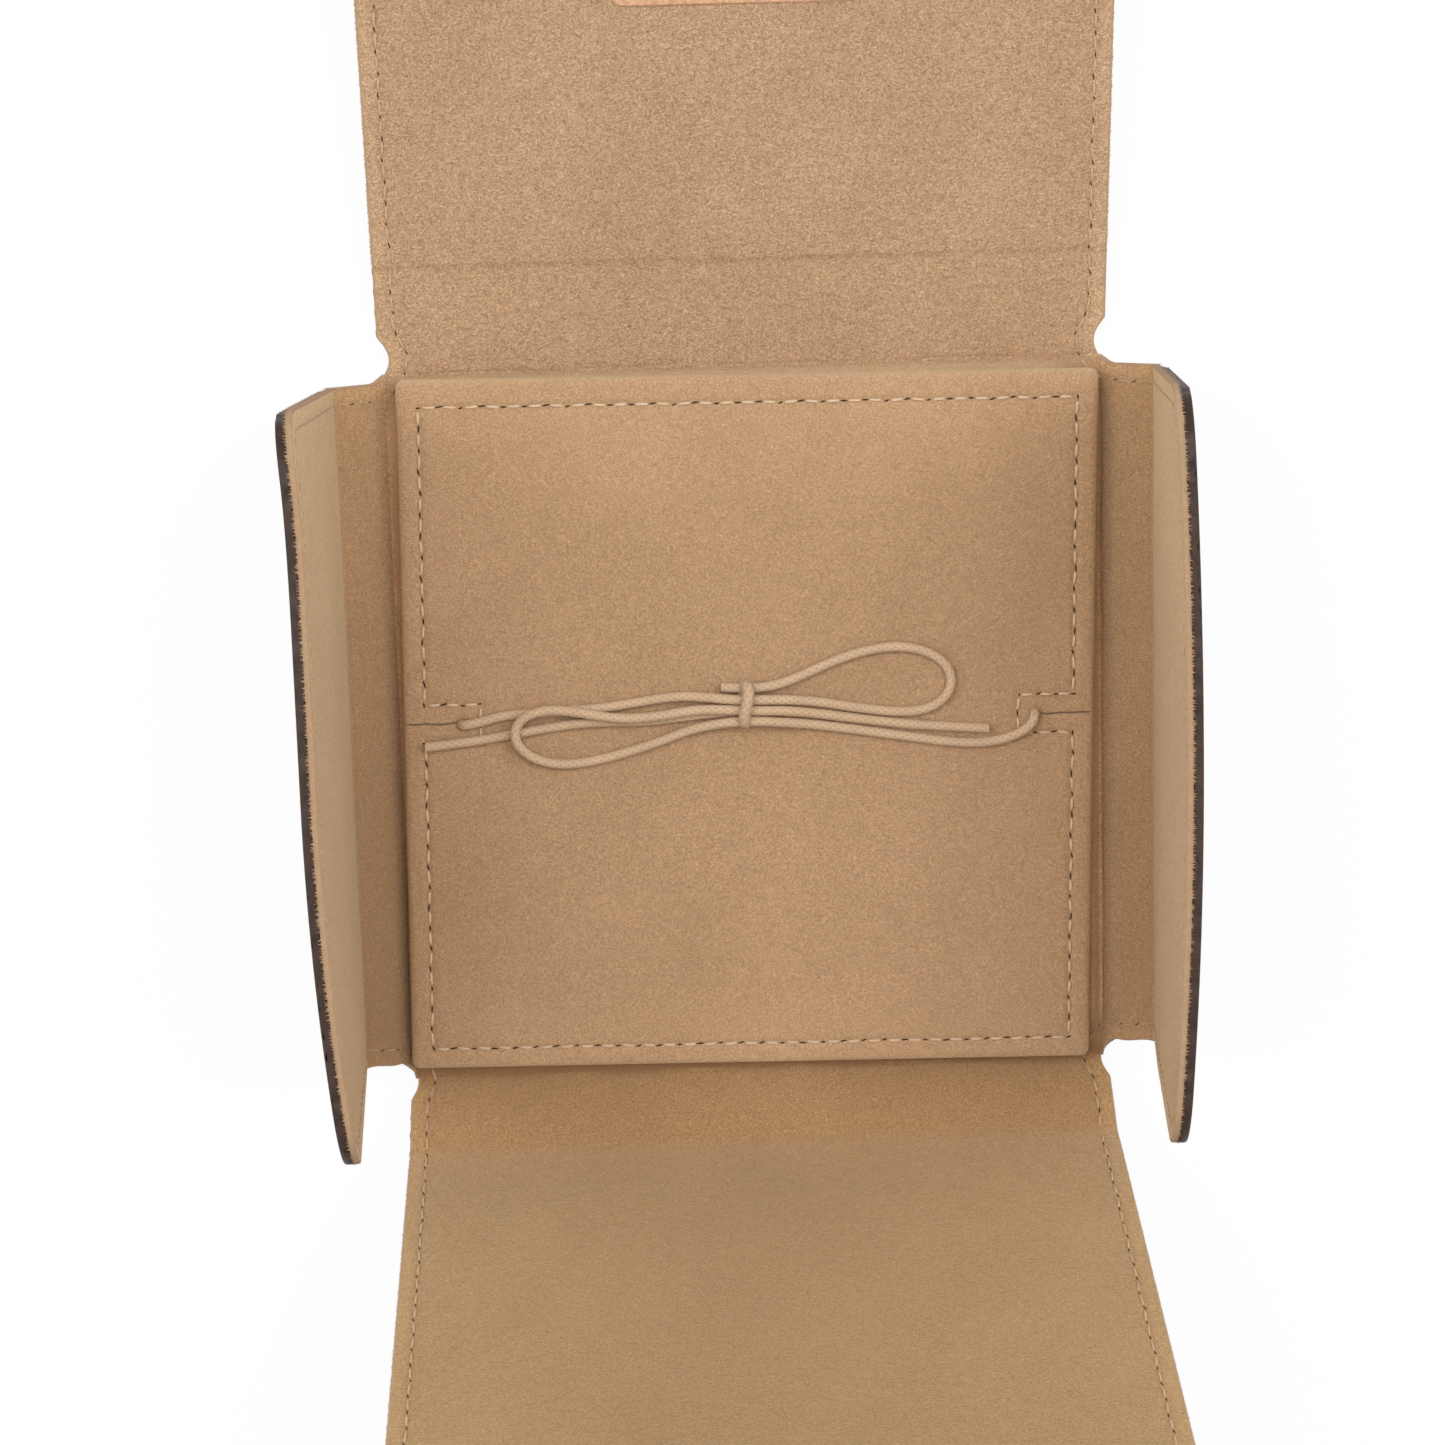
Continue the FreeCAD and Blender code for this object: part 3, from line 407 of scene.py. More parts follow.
# Painted shade: the brown of the creases
CREASE_SHADE_BROWN = (0.225, 0.105, 0.045)
MATERIALS = {
    "pad_suede": suede("pad_suede", PAD_BEIGE, WALL_SHADE_BEIGE, CREASE_SHADE_BROWN),
    "side_suede": suede("side_suede", FLAP_BEIGE, WALL_SHADE_BEIGE, CREASE_SHADE_BROWN),
    "front_suede": suede("front_suede", FRONT_FLAP_SHADED_BEIGE, FRONT_WALL_SHADE_BEIGE, CREASE_SHADE_BROWN),
    "raw_edge": raw_edge("raw_edge", (0.46, 0.292, 0.168)),
    "leather": grained_leather("leather", (0.050, 0.028, 0.019), (0.092, 0.052, 0.033), 1150.0, 0.42),
    "paint": edge_paint("paint", (0.034, 0.019, 0.013)),
    "label": grained_leather("label", (0.560, 0.315, 0.185), (0.600, 0.365, 0.225), 2100.0, 0.52),
    "thread": thread("thread", (0.680, 0.500, 0.330)),
    "side_thread": thread("side_thread", (0.500, 0.345, 0.215)),
    "dark_thread": thread("dark_thread", (0.150, 0.080, 0.045)),
    # Painted shade: a near-black oval stands in for the shade inside each needle hole
    "hole": speckled("hole", (0.035, 0.018, 0.009), 4000.0, rough=1.0),
    "cord": thread("cord", (0.640, 0.450, 0.285), 0.75),
    "card": speckled("card", (0.450, 0.400, 0.330), 1500.0),
    "foam": speckled("foam", (0.800, 0.770, 0.680), 2500.0, rough=1.0),
    "steel": speckled("steel", (0.550, 0.550, 0.560), 900.0, 1.0, 0.35),
}


# Meshes

def mesh_piece(name, points, faces, materials, indices=None, marks=None, sharp=55.0):
    """A smooth-shaded mesh object from points, faces, a material index for each face and marks on points."""
    mesh = bpy.data.meshes.new(name)
    mesh.from_pydata([tuple(point) for point in points], [], [tuple(face) for face in faces])
    for key in materials:
        mesh.materials.append(MATERIALS[key])
    if indices is not None:
        mesh.polygons.foreach_set("material_index", np.asarray(indices, np.int32))
    mesh.polygons.foreach_set("use_smooth", np.ones(len(mesh.polygons), bool))
    mesh.set_sharp_from_angle(angle=math.radians(sharp))
    for mark, amounts in (marks or {}).items():
        attribute = mesh.attributes.new(mark, "FLOAT", "POINT")
        attribute.data.foreach_set("value", np.asarray(amounts, np.float32))
    mesh.update()
    piece = bpy.data.objects.new(name, mesh)
    bpy.context.scene.collection.objects.link(piece)
    return piece


def grid_faces(rows, columns, start=0, flip=False):
    """Quads of a grid of points that is stored row by row."""
    faces = []
    for row in range(rows - 1):
        for column in range(columns - 1):
            a = start + row * columns + column
            quad = (a, a + 1, a + columns + 1, a + columns)
            faces.append(quad[::-1] if flip else quad)
    return faces


def rim(rows, columns):
    """Indices round the border of such a grid, anticlockwise."""
    bottom = list(range(columns))
    right = [row * columns + columns - 1 for row in range(1, rows)]
    top = [(rows - 1) * columns + column for column in range(columns - 2, -1, -1)]
    left = [row * columns for row in range(rows - 2, 0, -1)]
    return bottom + right + top + left


def spaced(start, stop, step):
    """Even lines from start to stop, no further apart than the step."""
    return np.linspace(start, stop, max(2, math.ceil(abs(stop - start) / step) + 1))


def joined(*lines):
    """Lines of several spacings in one ascending list, without near doubles."""
    every = np.sort(np.concatenate(lines))
    kept = [every[0]]
    for line in every[1:]:
        if line - kept[-1] > LEAST_GAP:
            kept.append(line)
    return np.array(kept)


def edged(half, step, edge, *more):
    """Lines from -half to half, with the given distances from both ends and any more lines added."""
    return joined(spaced(-half, half, step), edge - half, half - edge, *more)


def round_corners(x, y, half_x, half_y, radius):
    """Points of a square-cornered grid, moved so that its corners are round."""
    a, b = np.abs(x) - (half_x - radius), np.abs(y) - (half_y - radius)
    corner = (a > 0) & (b > 0)
    size = np.maximum(np.maximum(a, b), NEARLY_NOTHING)
    turn = np.where(a > b, b, 2 * size - a) / size * math.pi / 4
    x = np.where(corner, np.sign(x) * (half_x - radius + size * np.cos(turn)), x)
    y = np.where(corner, np.sign(y) * (half_y - radius + size * np.sin(turn)), y)
    return x, y


def ring_indices(start, rings, size):
    """Indices of rings of points that are stored one after another."""
    return [list(range(start + ring * size, start + (ring + 1) * size)) for ring in range(rings)]


def tube_faces(rings, flip=False):
    """Quads between rings of point indices, each ring joined to the next one."""
    faces = []
    for here, there in zip(rings, rings[1:]):
        for quad in zip(here, here[1:] + here[:1], there[1:] + there[:1], there):
            faces.append(quad[::-1] if flip else quad)
    return faces


def sheet_faces(rows, columns):
    """Faces of a closed sheet: an upper grid, a lower one stored after it, and the strip round both."""
    count = rows * columns
    border = rim(rows, columns)
    round_edge = tube_faces([border, [index + count for index in border]], flip=True)
    return grid_faces(rows, columns) + grid_faces(rows, columns, count, flip=True) + round_edge


def settle(piece, slot, body, *nodes):
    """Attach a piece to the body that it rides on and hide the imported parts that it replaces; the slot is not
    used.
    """
    if nodes:
        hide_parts(*nodes)
    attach(piece, body)


# The sides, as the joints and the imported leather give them

JOINTS = {joint["name"]: joint for joint in frame["joints"]}
EDGE_LINES = MM * np.array(
    (0.0, 0.04, 0.11, 0.22, 0.36, 0.55, 0.85, 1.25, 1.65, 2.05, 2.45, 2.8, 3.15, 3.6, 4.1))
ROW_STEP = 0.8 * MM
COLUMN_STEP = 1.25 * MM
FOLD_STEP = 0.22 * MM
FOLD_REACH = 3.2 * MM
CORNER_ROWS = 14
BEND_STEPS = 65
LEAN_IN_POWER = 2
LEAN_OUT_POWER = 6


def node_points(name):
    """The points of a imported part."""
    return np.array([vertex.co for vertex in frame["nodes"][name].data.vertices])


class Side:
    """One fold-over side: its folds, its outline when flat, and its bent place."""

    def __init__(self, name, notches, broad, soft=SOFT_FOLD, lean=(0.0, 0.0, 0.0), longer=0.0):
        inner, outer = JOINTS[f"{name}_wall_fold"], JOINTS[f"{name}_flap_fold"]
        self.name, self.notches, self.broad, self.soft = name, notches, broad, soft
        self.lean = [math.radians(angle) for angle in lean]
        self.along = np.array(inner["axis"], float)
        self.out = np.cross(UP, self.along)
        self.fold = np.array(inner["pos_m"])
        self.outer_fold = np.array(outer["pos_m"])
        self.wall = float(np.linalg.norm(self.outer_fold - self.fold))
        self.wall_angle = -math.radians(inner["range_deg"][0])
        self.flap_angle = -math.radians(outer["range_deg"][0])
        whole = self.wall_angle + self.flap_angle
        flap_out = self.out * math.cos(whole) + UP * math.sin(whole)
        leather = node_points(f"{name}_flap_shell") - self.outer_fold
        self.end = self.wall + float((leather @ flap_out).max())
        along = leather @ self.along
        self.low, self.high = float(along.min()), float(along.max()) + longer
        self.longer = longer

    def bent(self, flat):
        """Flat points in the case's frame, bent round both folds."""
        u, v, w = np.asarray(flat, float).T
        share = 2 * (u - self.low) / (self.high - self.low) - 1
        at_low, at_middle, at_high = self.lean
        more = np.where(share < 0, at_low - at_middle, at_high - at_middle)
        lean = at_middle + more * np.where(more < 0, share ** LEAN_OUT_POWER, share ** LEAN_IN_POWER)

        # The flap turns about the outer fold, still with the wall laid flat
        turn = (self.flap_angle + lean) * past(v, (self.wall - self.soft, 2 * self.soft))
        beyond = v - self.wall
        level = self.wall + beyond * np.cos(turn) - w * np.sin(turn)
        rise = beyond * np.sin(turn) + w * np.cos(turn)

        # Then the wall and the flap turn together about the inner fold
        turn, out, up = self.inner_bend(v)
        straight = np.where(v > SOFT_FOLD, level - v, 0.0)
        out = out + straight * np.cos(turn) - rise * np.sin(turn)
        up = up + straight * np.sin(turn) + rise * np.cos(turn)
        return self.fold + np.outer(u, self.along) + np.outer(out, self.out) + np.outer(up, UP)

    def inner_bend(self, v):
        """The round inner fold at distances from its middle: its slope, and how far out and up it is."""
        steps = np.linspace(-SOFT_FOLD, SOFT_FOLD, BEND_STEPS)
        slope = self.wall_angle * ease((steps + SOFT_FOLD) / (2 * SOFT_FOLD))
        width = steps[1] - steps[0]
        middle = (slope[1:] + slope[:-1]) / 2
        out = np.concatenate([[-SOFT_FOLD], -SOFT_FOLD + np.cumsum(np.cos(middle)) * width])
        up = np.concatenate([[0.0], np.cumsum(np.sin(middle)) * width])
        beyond = np.clip(v - SOFT_FOLD, 0.0, None)
        before = np.clip(v + SOFT_FOLD, None, 0.0)
        turn = np.interp(v, steps, slope)
        return (turn, np.interp(v, steps, out) + beyond * math.cos(self.wall_angle) + before,
                np.interp(v, steps, up) + beyond * math.sin(self.wall_angle))

    def end_at(self, v, plain, notch):
        """How far a sheet reaches along the fold, at a distance from it, beside a corner notch."""
        across, up = notch
        bite = across - np.sqrt(np.clip(NOTCH_RADIUS ** 2 - (v - up) ** 2, 0.0, None))
        if self.broad:
            # The round of the notch goes over softly to the straight end
            bite = np.where(np.abs(v - up) < NOTCH_RADIUS, bite, across)
            near = np.clip(NOTCH_BLEND / 2 - np.abs(bite - plain), 0.0, None) / (NOTCH_BLEND / 2)
            return np.minimum(bite, plain) - near ** 2 * NOTCH_BLEND / 8
        bottom = across - NOTCH_RADIUS
        return np.where(v < up, bite, bottom + (plain - bottom) * ease((v - up) / NOTCH_FADE))

    def square_ends(self, v):
        """Both ends of the leather along the fold, at distances from it, with the flap's corners square."""
        shorter = self.longer * (1 - ease((v - self.wall) / LONGER_FADE))
        low = -self.end_at(v, -self.low, self.notches[0])
        return low, self.end_at(v, self.high - shorter, self.notches[1])

    def ends(self, v):
        """Both ends of the leather along the fold, at a distance from it."""
        v = np.asarray(v, float)
        low, high = self.square_ends(v)
        back = rolled(self.end - v, CORNER)
        return low + back, high - back

    def inside(self, u, v):
        """Distance of flat points from the leather's edge."""
        to_end = self.end - v
        low, high = self.square_ends(v)
        to_side = np.minimum(high - u, u - low)
        distance = np.minimum(to_side, to_end)
        at_corner = (to_side < CORNER) & (to_end < CORNER)
        round_off = CORNER - np.hypot(CORNER - to_side, CORNER - to_end)
        distance = np.where(at_corner, round_off, distance)
        for sign, (across, up) in zip((-1, 1), self.notches):
            distance = np.minimum(distance, np.hypot(sign * u - across, v - up) - NOTCH_RADIUS)
        return distance

    def along_edge(self, u, v):
        """Distance along the nearest edge, for what repeats with the stitches."""
        to_side = np.minimum(self.high - u, u - self.low)
        return np.where(to_side < self.end - v, v, u)

    def bend(self, piece, outer):
        """Bake a piece's placement into its mesh; outer is not used."""
        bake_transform(piece)


# How many degrees further in than at rest the side flaps lean: at their low end, middle and high end
LEFT_LEAN = (3.5, 0.0, -1.6)
RIGHT_LEAN = (1.6, 0.0, 2.2)
RIGHT_LONGER = 1.2 * MM
LONGER_FADE = 12.0 * MM
FRONT_SOFT_FOLD = 3.5 * MM
HALF_X = abs(JOINTS["left_wall_fold"]["pos_m"][0])
HALF_Y = abs(JOINTS["lid_wall_fold"]["pos_m"][1])
LID_CORNER = (HALF_X + LID_NOTCH[0], HALF_Y + LID_NOTCH[1])
FRONT_CORNER = (HALF_X + FRONT_NOTCH[0], HALF_Y + FRONT_NOTCH[1])


def beside(corner, reach):
    """A corner notch's middle as a side wall sees it: along its fold, and out from it."""
    return corner[1], corner[0] - reach


SIDES = {
    "lid": Side("lid", [(LID_CORNER[0], LID_NOTCH[1])] * 2, True),
    "front": Side("front", [(FRONT_CORNER[0], FRONT_NOTCH[1])] * 2, True, FRONT_SOFT_FOLD),
    "left": Side("left", [beside(FRONT_CORNER, HALF_X), beside(LID_CORNER, HALF_X)], False, lean=LEFT_LEAN),
    "right": Side("right", [beside(LID_CORNER, HALF_X), beside(FRONT_CORNER, HALF_X)], False, lean=RIGHT_LEAN,
                  longer=RIGHT_LONGER),
}


# Unevenness of the sheets and the creases: heights and wavelengths
SUEDE_SWELL = 0.10 * MM
SUEDE_WAVE = 46 * MM
LEATHER_SWELL = 0.07 * MM
LEATHER_WAVE = 38 * MM
SWELL_START = 4 * MM
CREASE_WOBBLE = 0.3 * MM
CREASE_WAVES = (34 * MM, 6 * MM, 26 * MM)
CREASE_SHOWN = 0.6

# Creases along the folds: whether at the outer fold, how far beyond it, depth, half-width and darkness of their
# painted shade
CREASES = {
    "lid": ((False, 0.4 * MM, 0.07 * MM, 0.2 * MM, 0.38), (True, 0.0, 0.06 * MM, 0.5 * MM, 0.22),
            (True, 0.2 * MM, 0.03 * MM, 0.16 * MM, 0.22)),
    # The front's line has no depth: a painted shadow below the pad's front edge
    "front": ((False, 0.0, 0.0, 0.9 * MM, 0.75),),
    "left": (),
    "right": ((False, 0.25 * MM, 0.02 * MM, 0.14 * MM, 0.8),),
}

# Walls' painted shade: its strength and the width of its fade, which is wider to the south and starts before the
# fold
WALL_SHADE = {"lid": (0.1, 6 * MM), "front": (1.0, 16 * MM), "left": (1.0, 0.9 * MM), "right": (1.0, 0.9 * MM)}
WALL_SHADE_SOUTH = 1.5
WALL_SHADE_EARLY = 0.3

# Coarseness of each side's nap
COARSE = {"lid": 0.8, "front": 0.3, "left": 0.7, "right": 0.7}

# Tones of the suede: paler borders; painted light on the lid, on the side flaps, most at their lid ends and less
# at their front ends, and at the foot of the side walls; painted shade across the front flap; a side wall's
# painted shade and how much of it goes towards the lid
BORDER_PALE = 0.16
BORDER_BAND = (1.6 * MM, 1.4 * MM)
LID_PAINTED_LIGHT = 0.17
SIDE_FLAP_PAINTED_LIGHT = 0.40
NORTH_PAINTED_LIGHT = 0.30
SOUTH_PAINTED_SHADE = -0.14
FLAP_FADE = 1.5 * MM
FRONT_MIDDLE_PAINTED_SHADE = 0.16
FRONT_SHADE_HALF = 38 * MM
FRONT_SHADE_RISE = 24 * MM
WALL_PAINTED_SHADE = {"left": (0.08, 0.28), "right": (0.0, 0.09)}
FOOT_PAINTED_LIGHT = 0.06
FOOT_BAND = (2 * MM, 3 * MM)


def seam_relief(side, u, v, distance):
    """How far the sewing draws a surface down along the border."""
    pulled = 1 - SEAM_PULL + SEAM_PULL * np.cos(2 * math.pi * side.along_edge(u, v) / STITCH_PITCH)
    return SEAM_DEPTH * bump_at(distance - STITCH_INSET, SEAM_SPREAD) * pulled


def creases(side, u, v):
    """The creases of a side's suede: how deep each is and how strong its painted shade is at flat points."""
    for at_outer, off, depth, spread, shade_darkness in CREASES[side.name]:
        middle = off + (side.wall if at_outer else 0.0)
        slow, quick, change = CREASE_WAVES
        wobble = wander(u, 0 * u, slow, 1 + middle / MM) + wander(u, 0 * u, quick, 3.0) / 3
        strength = np.clip(CREASE_SHOWN * (1 + wander(u, 0 * u, change, 5 + middle / MM)), 0.0, 1.0)
        line = bump_at(v - middle - CREASE_WOBBLE * wobble, spread)
        yield depth * line, shade_darkness * strength * line


def suede_height(side, u, v):
    """Upper surface of a side's suede."""
    distance = side.inside(u, v)
    height = -rolled(distance - SUEDE_INSET, SUEDE_ROLL) - seam_relief(side, u, v, distance)
    swell = wander(u, v, SUEDE_WAVE, len(side.name)) * ease((distance - SUEDE_INSET) / SWELL_START)
    return height + SUEDE_SWELL * swell - sum(depth for depth, tone in creases(side, u, v))


def northward(side, u):
    """How far north a place on a side wall or flap lies: -1 at the front corner, 1 at the lid's."""
    return np.outer(u, side.along) @ np.array((0.0, 1.0, 0.0)) / HALF_Y


def suede_tone(side, u, v):
    """Painted shade along the creases, on the side walls and across the middle of the front flap; painted light on
    the lid, the side flaps and the foot of the side walls; paler along the border.
    """
    tone = -BORDER_PALE * (1 - past(side.inside(u, v), BORDER_BAND))
    beyond = v - side.wall
    if side.name == "lid":
        # Painted light over the whole lid
        tone = tone - LID_PAINTED_LIGHT
    elif side.name == "front":
        # Painted shade across the middle of the front flap
        tone = tone + FRONT_MIDDLE_PAINTED_SHADE * bump_at(u, FRONT_SHADE_HALF) * ease(beyond / FRONT_SHADE_RISE)
    else:
        # Painted light on the side flaps, most towards the lid, and painted shade on the side walls
        north = northward(side, u)
        flap_light = SIDE_FLAP_PAINTED_LIGHT + NORTH_PAINTED_LIGHT * ease(north) + SOUTH_PAINTED_SHADE * ease(-north)
        on_flap = ease(beyond / FLAP_FADE)
        side_wall_shade, fade = WALL_PAINTED_SHADE[side.name]
        tone = tone - flap_light * on_flap + (side_wall_shade - fade * north) * (1 - on_flap)
        # Painted light at the foot of the side walls
        tone = tone - FOOT_PAINTED_LIGHT * (1 - past(v, FOOT_BAND))
    return tone + sum(crease_shade for depth, crease_shade in creases(side, u, v))


def wall_shade_share(side, u, v):
    """How much of the walls' painted shade the suede has: all on the walls, going over beyond the outer fold."""
    amount, soft = WALL_SHADE[side.name]
    reach = soft * (1.0 if side.broad else 1 + WALL_SHADE_SOUTH * (1 - northward(side, u)))
    return amount * (1 - past(v - side.wall, (-WALL_SHADE_EARLY * reach, reach)))


def leather_height(side, u, v):
    """Outer surface of a side's leather."""
    distance = side.inside(u, v)
    swell = wander(u, v, LEATHER_WAVE, 3 + len(side.name)) * ease(distance / SWELL_START)
    return rolled(distance, LEATHER_ROLL) + seam_relief(side, u, v, distance) - PLATE - LEATHER_SWELL * swell


def sheet_rows(side, start, stop, inset, notch_back=0.0, end_back=(0.0, 0.0)):
    """Points of the flat sheet between two distances from the fold, row by row."""
    lines = [spaced(start, stop, ROW_STEP)]
    for at, half in ((0.0, FOLD_REACH), (side.wall, 2 * side.soft)):
        low, high = max(start, at - half), min(stop, at + half)
        if high > low:
            lines.append(spaced(low, high, FOLD_STEP))
    if stop > side.wall:
        lines.append(stop - EDGE_LINES)
        lines.append(stop - (CORNER - inset) * (1 - np.sin(np.linspace(0.0, math.pi / 2, CORNER_ROWS))))
    lines = joined(*lines)
    across = max(2, round((side.high - side.low - 2 * EDGE_LINES[-1]) / COLUMN_STEP))
    grid = []
    for v in lines:
        low, high = side.ends(min(v, side.end - inset) + inset * ease((v - side.end + CORNER) / CORNER))
        back = inset + notch_back * (1 - past(v, NOTCH_BACK_BAND))
        low, high = low + back + end_back[0], high - back - end_back[1]
        middle = np.linspace(low + EDGE_LINES[-1], high - EDGE_LINES[-1], across + 1)
        u = np.concatenate([low + EDGE_LINES[:-1], middle, (high - EDGE_LINES[:-1])[::-1]])
        grid.append(np.stack([u, np.full_like(u, v)], axis=1))
    return np.array(grid)


def slab(name, side, grid, upper, lower, materials, edge_width, marks=None):
    """A closed sheet between two heights over flat rows, with its own material round the free edge."""
    rows, columns = grid.shape[:2]
    u, v = grid.reshape(-1, 2).T
    faces = sheet_faces(rows, columns)
    near_edge = np.tile(side.inside(u, v), 2)
    marks = {mark: np.tile(amounts, 2) for mark, amounts in (marks or {}).items()}
    indices = [1 if np.mean(near_edge[list(face)]) < edge_width else 0 for face in faces]
    flat = np.concatenate([np.stack([u, v, height], axis=1) for height in (upper, lower)])
    return mesh_piece(name, side.bent(flat), faces, materials, indices, marks)


def wavy(side, grid):
    """Let the leather's edge swell a little between the stitches."""
    u, v = grid.reshape(-1, 2).T
    swell = EDGE_WAVE * np.cos(2 * math.pi * side.along_edge(u, v) / STITCH_PITCH)
    near = 1 - ease(side.inside(u, v) / EDGE_WAVE_REACH)
    middle = (side.low + side.high) / 2
    low, high = side.ends(v)
    at_end = side.end - v < np.minimum(high - u, u - low)
    u = u + np.where(at_end, 0.0, np.sign(u - middle) * swell * near)
    v = v + np.where(at_end, swell * near, 0.0)
    return np.stack([u, v], axis=1).reshape(grid.shape)


# Edges of the sheets
RAW_EDGE_WIDTH = 0.35 * MM
PAINT_WIDTH = 0.6 * MM
INNER_ROLL = 0.25 * MM


def build_sheets(side):
    """The suede and the leather of one side, each in two pieces that meet halfway up the wall."""
    halfway = side.wall / 2
    # The front's darker suede is painted shade
    cloth = "front_suede" if side.name == "front" else "side_suede"
    end_back = END_BACK.get(side.name, (0.0, 0.0))
    for outer, part in ((False, "wall"), (True, "flap")):
        start, stop = (halfway, side.end) if outer else (0.0, halfway)
        name = f"{side.name}_{part}"
        grid = sheet_rows(side, start, stop - SUEDE_INSET if outer else stop, SUEDE_INSET)
        u, v = grid.reshape(-1, 2).T
        # The tone mark carries painted shade, painted light and paler borders; the wall mark carries the walls'
        # painted shade
        marks = {"tone": suede_tone(side, u, v), "wall": wall_shade_share(side, u, v),
                 "coarse": np.full_like(u, COARSE[side.name])}
        lining = slab(f"{name}_suede", side, grid, suede_height(side, u, v), np.full_like(u, -SUEDE_THICK),
                      (cloth, "raw_edge"), RAW_EDGE_WIDTH, marks)
        grid = wavy(side, sheet_rows(side, start, stop, 0.0, NOTCH_BACK, end_back))
        u, v = grid.reshape(-1, 2).T
        upper = -SUEDE_THICK - rolled(side.inside(u, v), INNER_ROLL)
        shell = slab(f"{name}_leather", side, grid, upper, leather_height(side, u, v), ("leather", "paint"),
                     PAINT_WIDTH)
        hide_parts(f"{name}_lining")
        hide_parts(f"{name}_shell", f"{name}_fold")
        side.bend(lining, outer)
        side.bend(shell, outer)


def build_flap_board(side):
    """The stiffening card of a side flap, which leans with it."""
    grid = sheet_rows(side, side.wall + BOARD_INSET, side.end - BOARD_INSET, BOARD_INSET)
    upper = np.full(grid.shape[0] * grid.shape[1], -SUEDE_THICK)
    board = slab(f"{side.name}_flap_card", side, grid, upper, upper - BOARD_THICK, ("card", "card"), 0.0)
    settle(board, "card", f"{side.name}_flap", f"{side.name}_flap_board")


# The base: painted shadow along its front margin, painted light on its margins beside the pad, its share of the
# walls' painted shade, and its rise against the pad's sides
BASE_STEP = 1.5 * MM
BASE_SAG = 0.05 * MM
SAG_WAVE = 40 * MM
SAG_START = 3 * MM
MARGIN_BAND = (1 * MM, 2 * MM)
MARGIN_CORNER = (4 * MM, 5 * MM)
FRONT_MARGIN_SHADOW = 0.6
SIDE_MARGIN_LIGHT = 0.5
LID_MARGIN_BAND = (2 * MM, 2 * MM)
LID_MARGIN_LESS_SHADE = 0.7
FILL_HEIGHT = 2.0 * MM
FILL_BAND = (0.3 * MM, 1.6 * MM)
FILL_UNDER_PAD = (4 * MM, 2 * MM)
FILL_CORNER = (3 * MM, 5 * MM)


def bent_base(x, y, w):
    """Points of the base at a height from its suede, with its border bent up into the walls."""
    moved = np.stack([x, y, np.full_like(x, PLATE) + w], axis=-1)
    for side in SIDES.values():
        out = x * side.out[0] + y * side.out[1] - (HALF_Y if side.broad else HALF_X)
        turn, far, up = side.inner_bend(out)
        moved = moved + (far - out - w * np.sin(turn))[..., None] * side.out
        moved[..., 2] += up + w * (np.cos(turn) - 1)
    return moved.reshape(-1, 3)


def foot_fill(x, y):
    """How far the suede stands up against the pad's left, right and back sides, away from the corners."""
    to_side, to_front_or_back = HALF_X - np.abs(x), HALF_Y - np.abs(y)
    highest = 0.0
    for inward, to_corner in ((to_side, to_front_or_back), (HALF_Y - y, to_side)):
        fill = past(inward, FILL_BAND) * (1 - past(inward, FILL_UNDER_PAD))
        highest = np.maximum(highest, fill * past(to_corner, FILL_CORNER))
    return FILL_HEIGHT * highest


def build_base():
    """The suede and the leather of the base, up to the four fold lines."""
    leather_radius = NOTCH_RADIUS + 2 * NOTCH_BACK
    for name, upper, lower, replaced, key, slot, radius in (
        ("base_suede", 0.0, -SUEDE_THICK, "base_lining", "side_suede", "suede", NOTCH_RADIUS),
        ("base_leather", -SUEDE_THICK, -PLATE, "base_shell", "leather", "dark_leather", leather_radius),
    ):
        x, y = np.meshgrid(edged(HALF_X, BASE_STEP, EDGE_LINES), edged(HALF_Y, BASE_STEP, EDGE_LINES))

        # Points inside a corner notch move out to its round
        for sign, corner in ((1, LID_CORNER), (-1, FRONT_CORNER)):
            away = np.hypot(np.abs(x) - corner[0], sign * y - corner[1])
            push = np.where(away < radius, radius / away, 1.0)
            x = np.sign(x) * (corner[0] + (np.abs(x) - corner[0]) * push)
            y = sign * (corner[1] + (sign * y - corner[1]) * push)
        to_side, to_end = HALF_X - np.abs(x), HALF_Y - np.abs(y)
        sag = BASE_SAG * (1 + wander(x, y, SAG_WAVE, 2.0)) * ease(np.minimum(to_side, to_end) / SAG_START)
        fill = foot_fill(x, y) if name == "base_suede" else 0.0
        points = [bent_base(x, y, upper + fill), bent_base(x, y, lower + sag)]
        # Painted shadow along the front margin, below the pad's front edge
        tone = FRONT_MARGIN_SHADOW * (1 - past(HALF_Y + y, MARGIN_BAND))
        # Painted light on the margins beside the pad, lifting the shade there
        tone -= SIDE_MARGIN_LIGHT * (1 - past(to_side, MARGIN_BAND)) * past(to_end, MARGIN_CORNER)
        # The walls' painted shade goes onto the base's suede, less along the lid's margin
        wall = 1 - LID_MARGIN_LESS_SHADE * (1 - past(HALF_Y - y, LID_MARGIN_BAND))
        marks = {"wall": np.tile(wall.ravel(), 2), "tone": np.tile(tone.ravel(), 2)}
        piece = mesh_piece(name, np.concatenate(points), sheet_faces(*x.shape), (key,), marks=marks)
        settle(piece, slot, "base", replaced)


# Sewing

